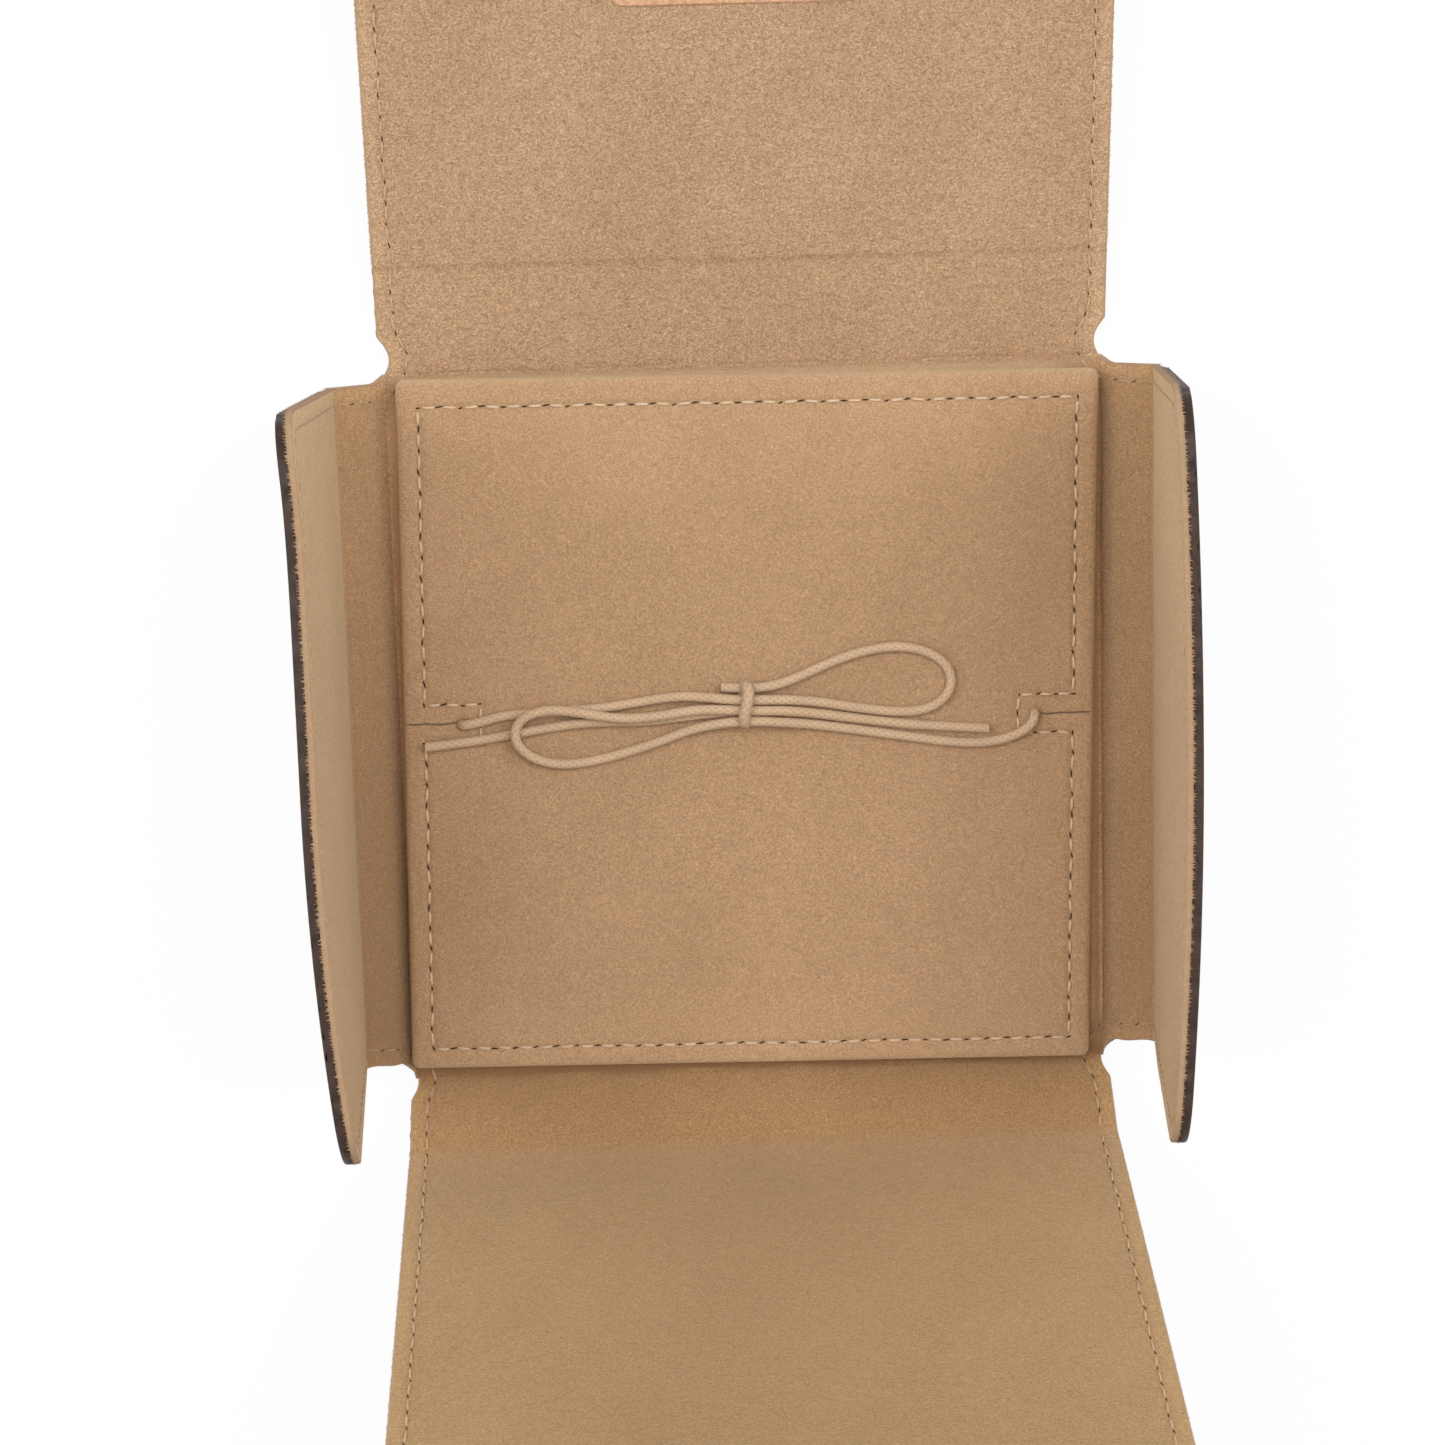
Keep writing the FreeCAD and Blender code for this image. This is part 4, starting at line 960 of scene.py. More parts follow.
THREAD_TURNS = 2 * math.pi * np.arange(6) / 6
THREAD_STATIONS = np.linspace(-1.0, 1.0, 7)
THREAD_RISE = 0.42
THREAD_DIVE = 0.75
THREAD_TAPER = 0.8
THREAD_THINNEST = 0.06
THREAD_TILT = 0.09
HOLE_TURNS = 2 * math.pi * np.arange(8) / 8
HOLE_LIFT = 0.07 * MM
HOLE_DOME = 0.02 * MM
HOLE_LEAN = (0.16, 0.2)
HOLE_UNEVEN = 0.25
CLOSE_BY = 0.05 * MM
CORNER_STEPS = 8
NOTCH_STEPS = 16
WALL_STEPS = 9
CLEAR_OF_BASE = 2.5 * MM
CLEAR_OF_FOLD = 0.4 * MM
WALL_SEAM_TOP = 0.3 * MM
WALL_SEAM_FOOT = 0.2 * MM
NOTCH_SEAM_LEAD = 1.5 * MM
NOTCH_SEAM_TURN = (0.12, 1.45 * math.pi)
FUZZ_PITCH = 0.17 * MM
FUZZ_ROOT = -0.7 * MM
FUZZ_OUT = (0.12 * MM, 0.34 * MM)
FUZZ_DROP = (0.15 * MM, 0.75 * MM)
FUZZ_WIDTH = (0.14 * MM, 0.36 * MM)


def resampled(path, pitch):
    """The middles of even steps along a path, about as long as the pitch, and the path's direction there."""
    path = np.asarray(path, float)
    whole = travelled(path)[-1]
    count = max(1, round(whole / pitch))
    at = (np.arange(count) + 0.5) * whole / count
    heading = along_line(path, at + CLOSE_BY) - along_line(path, at - CLOSE_BY)
    return along_line(path, at), heading / np.linalg.norm(heading, axis=1)[:, None]


def stitch(middle, heading, across, surface, width, outward):
    """Points of one stitch: rings of a thread that dives into the cloth at both ends."""
    rings = []
    for station in THREAD_STATIONS:
        spot = middle + heading * station * STITCH_LENGTH / 2
        radius = width / 2 * math.sqrt(max(THREAD_THINNEST, 1 - THREAD_TAPER * station ** 4))
        rise = width * (THREAD_RISE - THREAD_DIVE * station ** 4) + np.sin(THREAD_TURNS) * radius
        flat = spot + np.outer(np.cos(THREAD_TURNS), across) * radius
        rings.append(np.column_stack([flat, surface(spot[:1], spot[1:])[0] + outward * rise]))
    return np.concatenate(rings)


def needle_hole(spot, along, reach, surface, width, outward):
    """Points of one needle hole, a near-black oval of painted shade just above the surface: its middle, and a slim
    oval round it.
    """
    along = along / np.linalg.norm(along)
    short = np.array((-along[1], along[0])) * HOLE_WIDTH * width / 2
    ground = surface(spot[:1], spot[1:])[0] + outward * HOLE_LIFT
    oval = spot + np.outer(np.cos(HOLE_TURNS), along * reach) + np.outer(np.sin(HOLE_TURNS), short)
    oval = np.column_stack([oval, np.full(len(oval), ground)])
    return np.concatenate([[(*spot, ground + outward * HOLE_DOME)], oval])


def sewing(paths, surface, width, outward=1.0):
    """Stitches and needle holes, the holes as ovals of painted shade, along flat paths: points, faces and material
    indices.

    surface gives the height under flat points; outward is -1 on an underside. Sines of a stitch's order
    and place slant each one a little, and vary the lean and the length of its hole."""
    points, faces, indices = [], [], []
    count = 0
    for path in paths:
        for order, (middle, heading) in enumerate(zip(*resampled(path, STITCH_PITCH))):
            across = np.array((-heading[1], heading[0]))
            heading = heading + THREAD_TILT * math.sin(2.3 * order + 9 * middle[0] / MM) * across
            points.append(stitch(middle, heading, across, surface, width, outward))
            rings = ring_indices(count, len(THREAD_STATIONS), len(THREAD_TURNS))
            quads = tube_faces(rings, flip=outward > 0)
            count += len(points[-1])
            lean = HOLE_LEAN[0] + HOLE_LEAN[1] * math.sin(5.1 * order + 3 * middle[1] / MM)
            reach = HOLE_LENGTH * width / 2 * (1 + HOLE_UNEVEN * math.sin(3.7 * order + 1.3))
            spot = middle + heading * STITCH_PITCH / 2
            points.append(needle_hole(spot, heading + lean * across, reach, surface, width, outward))
            oval = list(range(count + 1, count + len(points[-1])))
            fan = [(count, a, b) if outward > 0 else (b, a, count) for a, b in zip(oval, oval[1:] + oval[:1])]
            count += len(points[-1])
            faces += quads + fan
            indices += [0] * len(quads) + [1] * len(fan)
    return np.concatenate(points), faces, indices


def flap_line(side, inset):
    """A line along a flap's border: up one side, round the free end and down the other."""
    corner, end = CORNER - inset, side.end - inset
    rises = (side.wall + CLEAR_OF_FOLD, side.wall + LONGER_FADE)
    path = [(side.ends(v)[0] + inset, v) for v in (*rises, end - corner)]
    low, high = side.low + inset, side.high - inset
    for middle, first in ((low + corner, math.pi), (high - corner, math.pi / 2)):
        for turn in np.linspace(first, first - math.pi / 2, CORNER_STEPS):
            path.append((middle + corner * math.cos(turn), end - corner + corner * math.sin(turn)))
    return path + [(side.ends(v)[1] - inset, v) for v in rises[::-1]]


def wall_seam(side, sign):
    """The border seam of a wall: down its end and, on a broad wall, round the corner notch to the side."""
    at_end = 0 if sign < 0 else 1
    across, up = side.notches[at_end]
    top = side.wall - WALL_SEAM_TOP
    if side.broad:
        radius = NOTCH_RADIUS + STITCH_INSET
        edge = (-side.low if sign < 0 else side.high) - STITCH_INSET
        first = math.acos(max(-1.0, (edge - across) / radius))
        path = [(edge, top), (edge, up + radius * math.sin(first) + NOTCH_SEAM_LEAD)]
        for turn in np.linspace(first + NOTCH_SEAM_TURN[0], NOTCH_SEAM_TURN[1], NOTCH_STEPS):
            path.append((across + radius * math.cos(turn), up + radius * math.sin(turn)))
    else:
        path = [(abs(float(side.square_ends(v)[at_end])) - STITCH_INSET, float(v))
                for v in np.linspace(top, up + WALL_SEAM_FOOT, WALL_STEPS)]
    return [(sign * u, v) for u, v in path]


def build_side_sewing(side):
    """Border stitches of one side, inside and outside."""
    layers = (
        ("stitches", 1.0, suede_height, "side_thread", "suede"),
        ("outer_stitches", -1.0, leather_height, "dark_thread", "dark_leather"),
    )
    for outer, part, paths in (
        (False, "wall", [wall_seam(side, sign) for sign in (-1, 1)]),
        (True, "flap", [flap_line(side, STITCH_INSET)]),
    ):
        width = FLAP_THREAD if outer and not side.broad else SIDE_THREAD
        for layer, outward, height, key, slot in layers:
            if outward < 0:
                paths = [[spot for spot in path if spot[1] > CLEAR_OF_BASE] for path in paths]
            points, faces, indices = sewing(paths, lambda u, v: height(side, u, v), width, outward)
            name = f"{side.name}_{part}_{layer}"
            piece = mesh_piece(name, side.bent(points), faces, (key, "hole"), indices)
            side.bend(piece, outer)


def build_fuzz(side):
    """Loose fibres of a flap's suede, hanging over the cut edge onto the painted edge of the leather."""
    random = np.random.default_rng(len(side.name))
    spots, headings = resampled(flap_line(side, SUEDE_INSET), FUZZ_PITCH)
    points, faces = [], []
    for spot, heading in zip(spots, headings):
        outward = np.array((-heading[1], heading[0]))
        out, drop = random.uniform(*FUZZ_OUT), random.uniform(*FUZZ_DROP)
        tip = spot + outward * out + heading * random.uniform(-1.0, 1.0) * drop / 2
        foot = heading * random.uniform(*FUZZ_WIDTH) / 2
        first = len(points)
        points += [(*(spot - foot), FUZZ_ROOT), (*(spot + foot), FUZZ_ROOT), (*tip, FUZZ_ROOT - drop)]
        faces.append((first, first + 1, first + 2))
    piece = mesh_piece(f"{side.name}_flap_fuzz", side.bent(points), faces, ("raw_edge",))
    side.bend(piece, True)


# Pad

PAD_STEP = 0.55 * MM
PAD_EDGE_LINES = np.append(EDGE_LINES, np.array((4.7, 5.4)) * MM)
SLIT_LINES = EXIT_Y + np.linspace(-1.3, 1.3, 27) * MM
PAD_ROLL_SHARE = 0.85
PAD_SWELL = 0.10 * MM
PAD_WAVE = 55 * MM
PAD_SWELL_BAND = (2 * MM, 6 * MM)
PAD_SEAM_SPREAD = 0.6 * MM
PAD_SEAM_PULL = 0.2
PAD_SEAM_DARK = 0.16
PAD_SEAM_DARK_SPREAD = 0.5 * MM
PAD_BORDER_PALE = 0.14
PAD_BORDER_BAND = (2.6 * MM, 1.0 * MM)
SLIT_HALF = 0.13 * MM
SLIT_DEPTH = 0.9 * MM
# Painted shade in the slits and the cord's holes
SLIT_SHADE = 1.05
SLIT_RAGGED = 0.14 * MM
SLIT_WAVES = (5 * MM, 1.6 * MM)
SLIT_OUTER_END = 1.2 * MM
SLIT_INNER_BAND = (EXIT_X - 1.5 * MM, 1.0 * MM)
CORD_HOLE = 0.95 * MM


def pad_inset(x, y):
    """Distance of points from the pad's round-cornered outline."""
    to_x, to_y = PAD_HALF_X - np.abs(x), PAD_HALF_Y - np.abs(y)
    straight = np.minimum(to_x, to_y)
    round_off = PAD_CORNER - np.hypot(PAD_CORNER - to_x, PAD_CORNER - to_y)
    return np.where((to_x < PAD_CORNER) & (to_y < PAD_CORNER), round_off, straight)


def pad_seam():
    """The pad's sewn line, with its way round each slit, as a closed path."""
    x, front, back = PAD_HALF_X - PAD_SEAM, PAD_SEAM - PAD_HALF_Y, PAD_HALF_Y - PAD_SEAM_NORTH
    inner = PAD_HALF_X - DETOUR_END
    low, high = EXIT_Y - DETOUR_HALF, EXIT_Y + DETOUR_HALF
    right = [(x, front), (x, low), (inner, low), (inner, high), (x, high), (x, back)]
    left = [(-x, back), (-x, high), (-inner, high), (-inner, low), (-x, low), (-x, front)]
    return right + left + right[:1]


def seam_distance(x, y):
    """Distance of points from the pad's seam, and how far along the seam they are."""
    best = np.full(np.shape(x), np.inf)
    along = np.zeros(np.shape(x))
    so_far = 0.0
    path = np.array(pad_seam())
    for a, b in zip(path, path[1:]):
        run = b - a
        length = np.linalg.norm(run)
        share = np.clip(((x - a[0]) * run[0] + (y - a[1]) * run[1]) / length ** 2, 0.0, 1.0)
        distance = np.hypot(x - a[0] - share * run[0], y - a[1] - share * run[1])
        nearer = distance < best
        best = np.where(nearer, distance, best)
        along = np.where(nearer, so_far + share * length, along)
        so_far += length
    return best, along


def slit_depth(x, y):
    """1 in the middle of a slit or of the cord's hole, 0 away from them."""
    ragged = wander(x, 0 * x, SLIT_WAVES[0], 4.0) + wander(x, 0 * x, SLIT_WAVES[1], 9.0) / 2
    reach = ease((PAD_HALF_X - np.abs(x)) / SLIT_OUTER_END) * past(np.abs(x), SLIT_INNER_BAND)
    slit = bump_at(y - EXIT_Y - SLIT_RAGGED * ragged, SLIT_HALF) * reach
    hole = bump_at(np.hypot(np.abs(x) - EXIT_X, y - EXIT_Y), CORD_HOLE)
    return np.maximum(slit, hole)


def pad_crown(inset):
    """The pad's height above its floor at a distance from its outline, without its seams and rolled edge."""
    return PAD_BORDER + PAD_CROWN * past(inset, (CROWN_START, CROWN_END - CROWN_START))


def pad_height(x, y):
    """Upper surface of the pad above its floor."""
    inset = pad_inset(x, y)
    off, along = seam_distance(x, y)
    pulled = 1 - PAD_SEAM_PULL + PAD_SEAM_PULL * np.cos(2 * math.pi * along / STITCH_PITCH)
    height = pad_crown(inset) - PAD_ROLL_SHARE * rolled(inset, PAD_ROLL)
    height -= PAD_SEAM_DEPTH * bump_at(off, PAD_SEAM_SPREAD) * pulled
    height += PAD_SWELL * wander(x, y, PAD_WAVE, 6.0) * past(inset, PAD_SWELL_BAND)
    return height - SLIT_DEPTH * slit_depth(x, y)


def pad_tone(x, y):
    """Painted shade in the slits and the cord's holes; darker along the needle line, a little paler outside the
    seam.
    """
    tone = PAD_SEAM_DARK * bump_at(seam_distance(x, y)[0], PAD_SEAM_DARK_SPREAD)
    tone -= PAD_BORDER_PALE * (1 - past(pad_inset(x, y), PAD_BORDER_BAND))
    # Painted shade in the slits and the cord's holes
    return np.maximum(tone, SLIT_SHADE * slit_depth(x, y) ** 2)


def on_pad(points):
    """Points of the pad's own frame in the case's frame."""
    return np.array([PAD_PLACE @ Vector(point) for point in points])


def skewed(points):
    """Points of the pad's own frame, moved as its corners are out of square."""
    points = np.asarray(points, float)
    right = (points[:, :1] / PAD_HALF_X + 1) / 2
    back = (points[:, 1:2] / PAD_HALF_Y + 1) / 2
    front_left, front_right, back_left, back_right = PAD_SKEW
    shift = (1 - back) * ((1 - right) * front_left + right * front_right)
    shift = shift + back * ((1 - right) * back_left + right * back_right)
    return np.concatenate([points[:, :2] + shift, points[:, 2:]], axis=1)


def run_pairs(corners):
    """The straight runs between corners that follow each other."""
    return [list(run) for run in zip(corners, corners[1:])]


# The pad's sides from the top down: share of the height, and how far in from the outline, in mm
PAD_SIDE = ((0.86, -0.12), (0.62, -0.18), (0.40, -0.16), (0.18, 0.05), (0.04, 0.30), (0.0, 0.55))
# Painted shade on the pad's sides, more towards the foot
PAD_SIDE_SHADE = 0.1


def build_pad():
    """A crowned, suede-covered pad whose sides swell and then tuck in to the foot."""
    across = edged(PAD_HALF_X, PAD_STEP, PAD_EDGE_LINES)
    x, y = np.meshgrid(across, edged(PAD_HALF_Y, PAD_STEP, PAD_EDGE_LINES, SLIT_LINES))
    rows, columns = x.shape
    x, y = round_corners(x.ravel(), y.ravel(), PAD_HALF_X, PAD_HALF_Y, PAD_CORNER)
    height = pad_height(x, y)
    border = rim(rows, columns)
    levels = [np.stack([x, y, height], axis=1)]
    tones = [pad_tone(x, y)]
    for share, inward in PAD_SIDE:
        grow = 1 - inward * MM / PAD_HALF_X
        levels.append(np.stack([x[border] * grow, y[border] * grow, height[border] * share], axis=1))
        tones.append(np.full(len(border), PAD_SIDE_SHADE * (1 - share)))
    rings = [border] + ring_indices(rows * columns, len(PAD_SIDE), len(border))
    faces = grid_faces(rows, columns) + tube_faces(rings, flip=True) + [rings[-1][::-1]]
    pad = mesh_piece("pad_cushion", on_pad(skewed(np.concatenate(levels))), faces, ("pad_suede",),
                     marks={"tone": np.concatenate(tones)}, sharp=80.0)
    settle(pad, "pad_suede", "base", "pad_cover")
    points, faces, indices = sewing(run_pairs(pad_seam()), pad_height, PAD_THREAD)
    seams = mesh_piece("pad_stitches", on_pad(skewed(points)), faces, ("thread", "hole"), indices)
    settle(seams, "pad_suede", "base")


# Cord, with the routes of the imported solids: across, up, and lift above the pad's surface, in mm

LOW, LAID, HIGH = 0.8, 0.85, 2.5
EXIT_LIFT = 0.95
UNDER = 1.9 * MM
BURIED = 4.0 * MM
LEFT_LEAD = [
    (-45.8, 1.2, EXIT_LIFT), (-42.8, 1.8, 0.9), (-39.0, 2.9, LAID), (-31.0, 3.3, LOW), (-23.5, 3.7, LOW),
    (-17.5, 4.6, LAID), (-11.5, 5.5, 1.1), (-6.6, 5.3, 1.9), (-2.8, 4.9, HIGH), (1.6, 4.8, HIGH),
    (5.4, 4.7, 1.9), (10.5, 4.2, 1.0), (17.2, 2.95, LOW), (23.4, 2.1, LOW), (27.8, 2.3, LOW),
    (30.9, 3.7, LOW), (32.6, 6.6, LOW), (31.5, 9.8, LOW), (28.0, 12.1, LOW), (23.1, 12.8, LOW),
    (18.0, 12.0, LOW), (13.6, 10.6, LOW), (9.4, 8.8, 0.9), (5.4, 7.2, 1.4), (1.6, 6.6, 1.7),
    (-1.6, 6.6, 1.6), (-4.3, 6.7, LAID),
]
RIGHT_LEAD = [
    (45.8, 1.2, EXIT_LIFT), (45.1, -0.7, 0.9), (42.3, -2.3, 0.9), (38.0, -3.25, LAID), (32.5, -3.0, LOW),
    (25.4, -1.9, LOW), (17.1, -0.6, LOW), (9.8, 0.5, 1.0), (5.2, 1.0, 1.8), (1.5, 1.4, HIGH),
    (-2.6, 1.4, HIGH), (-6.0, 0.85, 1.8), (-9.8, -0.1, 0.95), (-14.5, -1.9, LOW), (-20.0, -3.6, LOW),
    (-25.5, -4.9, LOW), (-30.5, -5.3, 0.95), (-35.0, -3.9, 1.85), (-37.6, -0.8, 2.75), (-36.6, 2.6, 2.7),
    (-32.2, 4.1, 2.65), (-27.0, 3.4, HIGH), (-20.8, 2.2, 2.55), (-15.0, 2.4, HIGH), (-8.5, 3.5, 2.55),
    (-3.4, 3.3, HIGH), (1.6, 3.05, HIGH), (5.8, 2.9, 1.9), (10.8, 2.2, 0.95), (17.2, 1.2, LOW),
    (25.5, 0.1, LOW), (31.8, -0.4, LOW), (38.2, -0.9, LAID),
]
LEFT_TAIL = [
    (-1.5, 2.7, LOW), (-5.5, 2.6, LAID), (-10.5, 2.1, LOW), (-17.0, 1.4, LAID), (-24.0, 1.6, LOW),
    (-30.0, 1.1, LOW), (-38.8, -0.4, LAID), (-45.5, -1.5, LAID), (-51.6, -2.1, LAID),
]
CORD_SIDES = 24
CORD_STEP = 0.17 * MM
PLAITS = 5
PLAIT_LENGTH = 1.3 * MM
PLAIT_DEPTH = 0.10
# Painted shade in the plait's grooves and at the cord's tips
PLAIT_SHADE = 0.6
CORD_POINT = 0.1 * MM


def route(points, sign=0):
    """A route in the case's frame; a sign adds the two points inside the pad at that end."""
    laid = np.array(points, float) * MM
    laid[:, 2] += pad_crown(pad_inset(laid[:, 0], laid[:, 1]))
    inside = [(sign * (EXIT_X - BURIED), EXIT_Y, UNDER), (sign * EXIT_X, EXIT_Y, UNDER)] if sign else []
    return on_pad([*inside, *laid])


def spline_points(points, closed=False):
    """Points along the smooth NURBS line that has these control points."""
    curve = bpy.data.curves.new("route", "CURVE")
    curve.dimensions = "3D"
    spline = curve.splines.new("NURBS")
    spline.points.add(len(points) - 1)
    for control, point in zip(spline.points, points):
        control.co = (*point, 1.0)
    spline.order_u = 3
    spline.use_endpoint_u = not closed
    spline.use_cyclic_u = closed
    spline.resolution_u = 12
    holder = bpy.data.objects.new("route", curve)
    line = bpy.data.meshes.new_from_object(holder)
    found = np.array([vertex.co for vertex in line.vertices])
    bpy.data.objects.remove(holder)
    bpy.data.curves.remove(curve)
    bpy.data.meshes.remove(line)
    return found


def laid_cord(name, line, diameter, closed=False):
    """A finely plaited cord along a line, with closed, slightly pointed ends, and painted shade in the plait's
    grooves and at the tips.
    """
    if closed:
        line = np.concatenate([line, line[:1]])
    even = spaced(0.0, travelled(line)[-1], CORD_STEP)[:-1 if closed else None]
    line = along_line(line, even)
    ahead = np.roll(line, -1, axis=0) - np.roll(line, 1, axis=0)
    if not closed:
        ahead[0], ahead[-1] = line[1] - line[0], line[-1] - line[-2]
    ahead /= np.linalg.norm(ahead, axis=1)[:, None]
    beside = np.cross(ahead[0], UP if abs(ahead[0][2]) < 0.9 else np.array((1.0, 0.0, 0.0)))
    turns = 2 * math.pi * np.arange(CORD_SIDES) / CORD_SIDES
    points, tones = [], []
    for spot, heading, far in zip(line, ahead, even):
        # Each ring takes its direction over from the one before, so that the cord doesn't twist
        beside = beside - heading * (beside @ heading)
        beside = beside / np.linalg.norm(beside)
        over = np.cross(heading, beside)
        phase = 2 * math.pi * far / PLAIT_LENGTH
        sunk = (1 - np.maximum(np.cos(PLAITS * turns + phase), np.cos(PLAITS * turns - phase))) / 2
        radius = diameter / 2 * (1 - PLAIT_DEPTH * sunk)
        ring = np.outer(radius * np.cos(turns), beside) + np.outer(radius * np.sin(turns), over)
        points.append(spot + ring)
        # Painted shade in the plait's grooves
        tones.append(PLAIT_SHADE * sunk)
    rings = ring_indices(0, len(line), CORD_SIDES)
    faces = tube_faces(rings + rings[:1] if closed else rings)
    if not closed:
        points.append([line[0] - ahead[0] * CORD_POINT, line[-1] + ahead[-1] * CORD_POINT])
        # Painted shade at the tips
        tones.append([PLAIT_SHADE, PLAIT_SHADE])
        tip = len(line) * CORD_SIDES
        for a, b in zip(rings[0], rings[0][1:] + rings[0][:1]):
            faces.append((tip, b, a))
        for a, b in zip(rings[-1], rings[-1][1:] + rings[-1][:1]):
            faces.append((tip + 1, a, b))
    marks = {"tone": np.concatenate(tones)}
    return mesh_piece(name, np.concatenate(points), faces, ("cord",), marks=marks, sharp=70.0)


# Turn that ties the bow: place and reach across the pad in mm, its height, its slant, and its corners
KNOT_X = -0.55
KNOT_LOW, KNOT_HIGH = 2.5, 5.8
KNOT_BEND = 1.7
KNOT_SLANT = 0.75
KNOT_TURN = ((-1, 1), (-0.3, 1.06), (0.3, 1.06), (1, 1), (1.75, 0.5), (1.75, -0.5), (1, -1), (-1, -1),
             (-1.75, -0.5), (-1.75, 0.5))


def build_cords():
    """The bow: two leads, a tail, and the turn that ties them."""
    middle, half = (KNOT_LOW + KNOT_HIGH) / 2, (KNOT_HIGH - KNOT_LOW) / 2
    loop = [(KNOT_X + KNOT_SLANT * across * rise / 2, middle + across * half, HIGH + rise * KNOT_BEND)
            for across, rise in KNOT_TURN]
    knot = laid_cord("knot_turn", spline_points(route(loop), closed=True), KNOT_DIAMETER, closed=True)
    settle(knot, "cord", "base", "bow_knot")
    for name, points, replaced, far_end, extra in (
        ("lead_left", route(LEFT_LEAD, -1), "cord_left", "knot", [knot]),
        ("lead_right", route(RIGHT_LEAD, 1), "cord_right", "bare", []),
        ("tail_left", route(LEFT_TAIL), "cord_tail", "bare", []),
    ):
        line = spline_points(points)
        piece = laid_cord(name, line, CORD_DIAMETER)
        settle(piece, "cord", "base", replaced)


# Label patch, left blank

LABEL_HALF_X, LABEL_HALF_Y = 19.0 * MM, 8.0 * MM
LABEL_RISE = 47.2 * MM
LABEL_CORNER = 2.0 * MM
LABEL_PROUD = 0.4 * MM
LABEL_STITCH = 1.3 * MM
LABEL_SEAM_DEPTH = 0.08 * MM
LABEL_ROLL = 0.3 * MM
LABEL_SWELL = 0.03 * MM
LABEL_WAVE = 12 * MM
LABEL_FLOOR = -0.4 * MM
LABEL_STEP = 1 * MM
LABEL_EDGE_LINES = np.array((0.0, 0.05, 0.12, 0.2, 0.3, 0.6, 1.0, 1.3, 1.6, 2.0)) * MM
LABEL_MIDDLE = SIDES["lid"].wall + LABEL_RISE


def label_height(u, v):
    """Upper surface of the label above the suede."""
    to_u = LABEL_HALF_X - np.abs(u)
    to_v = LABEL_HALF_Y - np.abs(v - LABEL_MIDDLE)
    inset = np.minimum(to_u, to_v)
    seam = LABEL_SEAM_DEPTH * bump_at(inset - LABEL_STITCH, LABEL_ROLL)
    return LABEL_PROUD - rolled(inset, LABEL_ROLL) - seam + LABEL_SWELL * wander(u, v, LABEL_WAVE, 8.0)


def build_label():
    """A blank leather patch sewn to the lid's suede."""
    side = SIDES["lid"]
    u, v = np.meshgrid(*(edged(half, LABEL_STEP, LABEL_EDGE_LINES) for half in (LABEL_HALF_X, LABEL_HALF_Y)))
    faces = sheet_faces(*u.shape)
    u, v = u.ravel(), v.ravel()
    upper, lower = label_height(u, v + LABEL_MIDDLE), np.full_like(u, LABEL_FLOOR)
    u, v = round_corners(u, v, LABEL_HALF_X, LABEL_HALF_Y, LABEL_CORNER)
    flat = np.concatenate([np.stack([u, v + LABEL_MIDDLE, level], axis=1) for level in (upper, lower)])
    patch = mesh_piece("label_leather", side.bent(flat), faces, ("label",))
    settle(patch, "natural_leather", "lid_flap", "label_patch")
    x, low, high = LABEL_HALF_X - LABEL_STITCH, LABEL_STITCH - LABEL_HALF_Y, LABEL_HALF_Y - LABEL_STITCH
    corners = [(-x, low), (x, low), (x, high), (-x, high), (-x, low)]
    runs = run_pairs([(across, rise + LABEL_MIDDLE) for across, rise in corners])
    points, faces, indices = sewing(runs, label_height, FLAP_THREAD)
    seams = mesh_piece("label_stitches", side.bent(points), faces, ("thread", "hole"), indices)
    settle(seams, "natural_leather", "lid_flap")


def dress_hidden_parts():
    """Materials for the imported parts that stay, inside the case."""
    slots = {part["node"]: part["material_slot"] for part in frame["record"]["subparts"]}
    for name, part in frame["nodes"].items():
        if slots[name] in ("card", "foam", "steel", "cord") and not part.hide_render:
            part.data.materials.clear()
            part.data.materials.append(MATERIALS[slots[name]])


# Floor, light and camera

FLOOR_REACH = 3.0
FLOOR_DROP = 0.15 * MM
FLOOR_GREY = (0.86, 0.86, 0.86, 1.0)
FLOOR_GLOW = 0.92
ROOM_COLOUR = (1.0, 0.99, 0.975, 1.0)
ROOM_LIGHT = 0.40

# Lamps: name, place, what it looks at, width and height in metres, and power in watts
LAMPS = (
    ("overhead", (0.0, 0.23, 0.75), (0.0, 0.0, 0.0), 1.5, 0.45, 7.6),
    ("left", (-0.9, 0.12, 0.48), (0.0, 0.0, 0.03), 0.7, 0.40, 3.4),
    ("right", (0.9, 0.12, 0.48), (0.0, 0.0, 0.03), 0.7, 0.40, 2.8),
)


def seen_rays(tree):
    """1 for the rays that show something: straight to the camera, in a reflection or through clear stuff."""
    rays = node(tree, "ShaderNodeLightPath").outputs
    seen = maths(tree, "MAXIMUM", rays["Is Camera Ray"], rays["Is Glossy Ray"])
    return maths(tree, "MAXIMUM", seen, rays["Is Transmission Ray"])


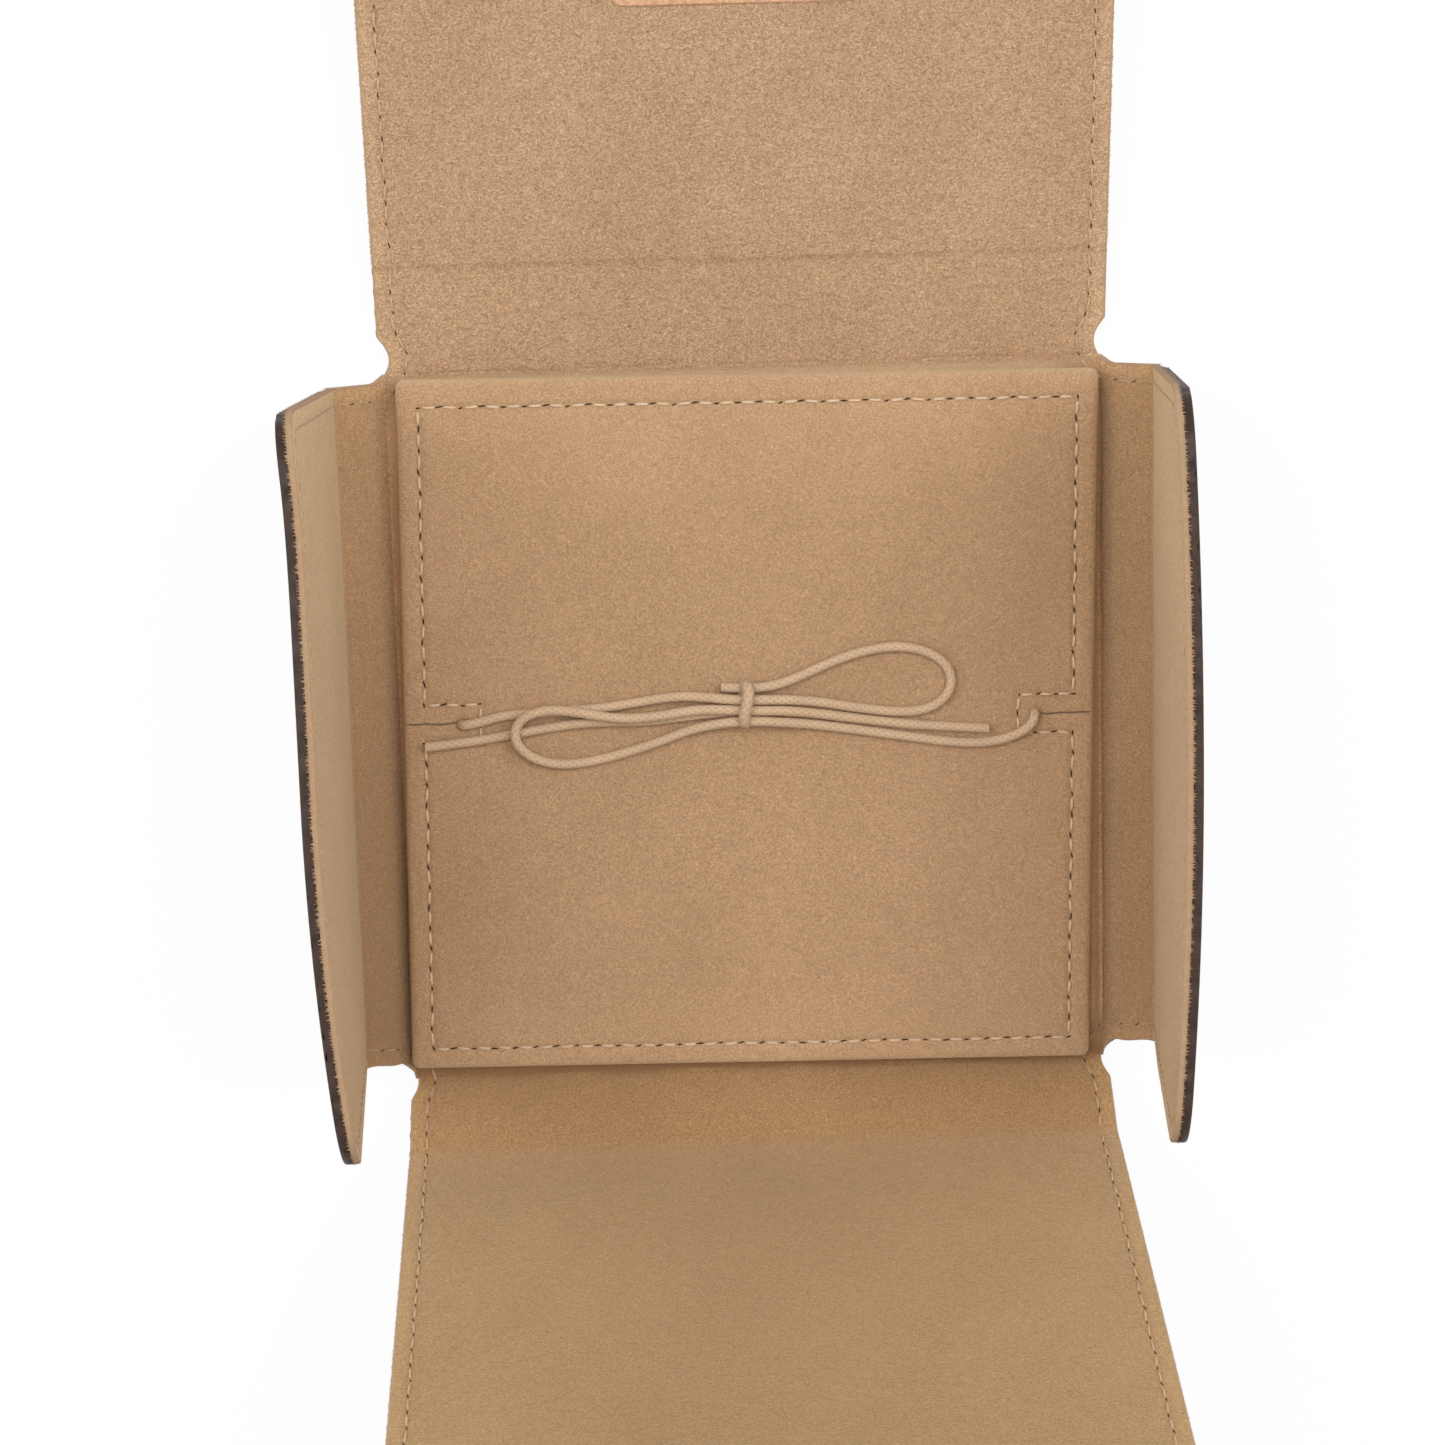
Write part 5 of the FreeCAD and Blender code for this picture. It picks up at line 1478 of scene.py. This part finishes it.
def build_floor():
    """A white floor that keeps the object's shadow."""
    mesh = bpy.data.meshes.new("floor")
    corners = np.array(((-1, -1), (1, -1), (1, 1), (-1, 1))) * FLOOR_REACH
    mesh.from_pydata([(x, y, -FLOOR_DROP) for x, y in corners], [], [(0, 1, 2, 3)])
    floor = bpy.data.objects.new("floor", mesh)
    bpy.context.scene.collection.objects.link(floor)
    material, tree, shader = new_material("floor")
    shader.inputs["Base Color"].default_value = FLOOR_GREY
    shader.inputs["Roughness"].default_value = 1.0
    shader.inputs["Specular IOR Level"].default_value = 0.0
    glow = node(tree, "ShaderNodeEmission", {"Color": (1, 1, 1, 1), "Strength": 1.0})
    share = maths(tree, "MULTIPLY", seen_rays(tree), FLOOR_GLOW)
    mixed = node(tree, "ShaderNodeMixShader", {0: share, 1: shader.outputs[0], 2: glow.outputs[0]})
    tree.links.new(mixed.outputs[0], tree.nodes["Material Output"].inputs["Surface"])
    mesh.materials.append(material)


def build_studio():
    """Soft light from above and from both sides, in a white room, and the photograph's camera."""
    scene = bpy.context.scene
    scene.view_settings.view_transform = "Standard"
    scene.world = bpy.data.worlds.new("studio")
    scene.world.use_nodes = True
    tree = scene.world.node_tree
    background = tree.nodes["Background"]
    background.inputs["Color"].default_value = ROOM_COLOUR
    strength = node(tree, "ShaderNodeMapRange", {"Value": seen_rays(tree), "To Min": ROOM_LIGHT})
    tree.links.new(strength.outputs["Result"], background.inputs["Strength"])
    for name, place, aim, size, height, power in LAMPS:
        lamp = bpy.data.lights.new(name, "AREA")
        lamp.shape = "RECTANGLE"
        lamp.size, lamp.size_y = size, height
        lamp.energy = power
        holder = bpy.data.objects.new(name, lamp)
        holder.location = place
        holder.rotation_euler = (Vector(aim) - Vector(place)).to_track_quat("-Z", "Y").to_euler()
        scene.collection.objects.link(holder)

    camera = bpy.data.cameras.new("camera")
    camera.sensor_width = SENSOR
    camera.lens = SENSOR * FOCAL_SHARE
    camera.clip_start = 0.01
    viewer = bpy.data.objects.new("camera", camera)
    viewer.location = CAMERA_PLACE
    viewer.rotation_euler = CAMERA_TURN
    scene.collection.objects.link(viewer)
    scene.camera = viewer


build_base()
for case_side in SIDES.values():
    build_sheets(case_side)
    build_side_sewing(case_side)
    build_fuzz(case_side)
    if not case_side.broad:
        build_flap_board(case_side)
build_pad()
build_cords()
build_label()
dress_hidden_parts()
build_floor()
build_studio()
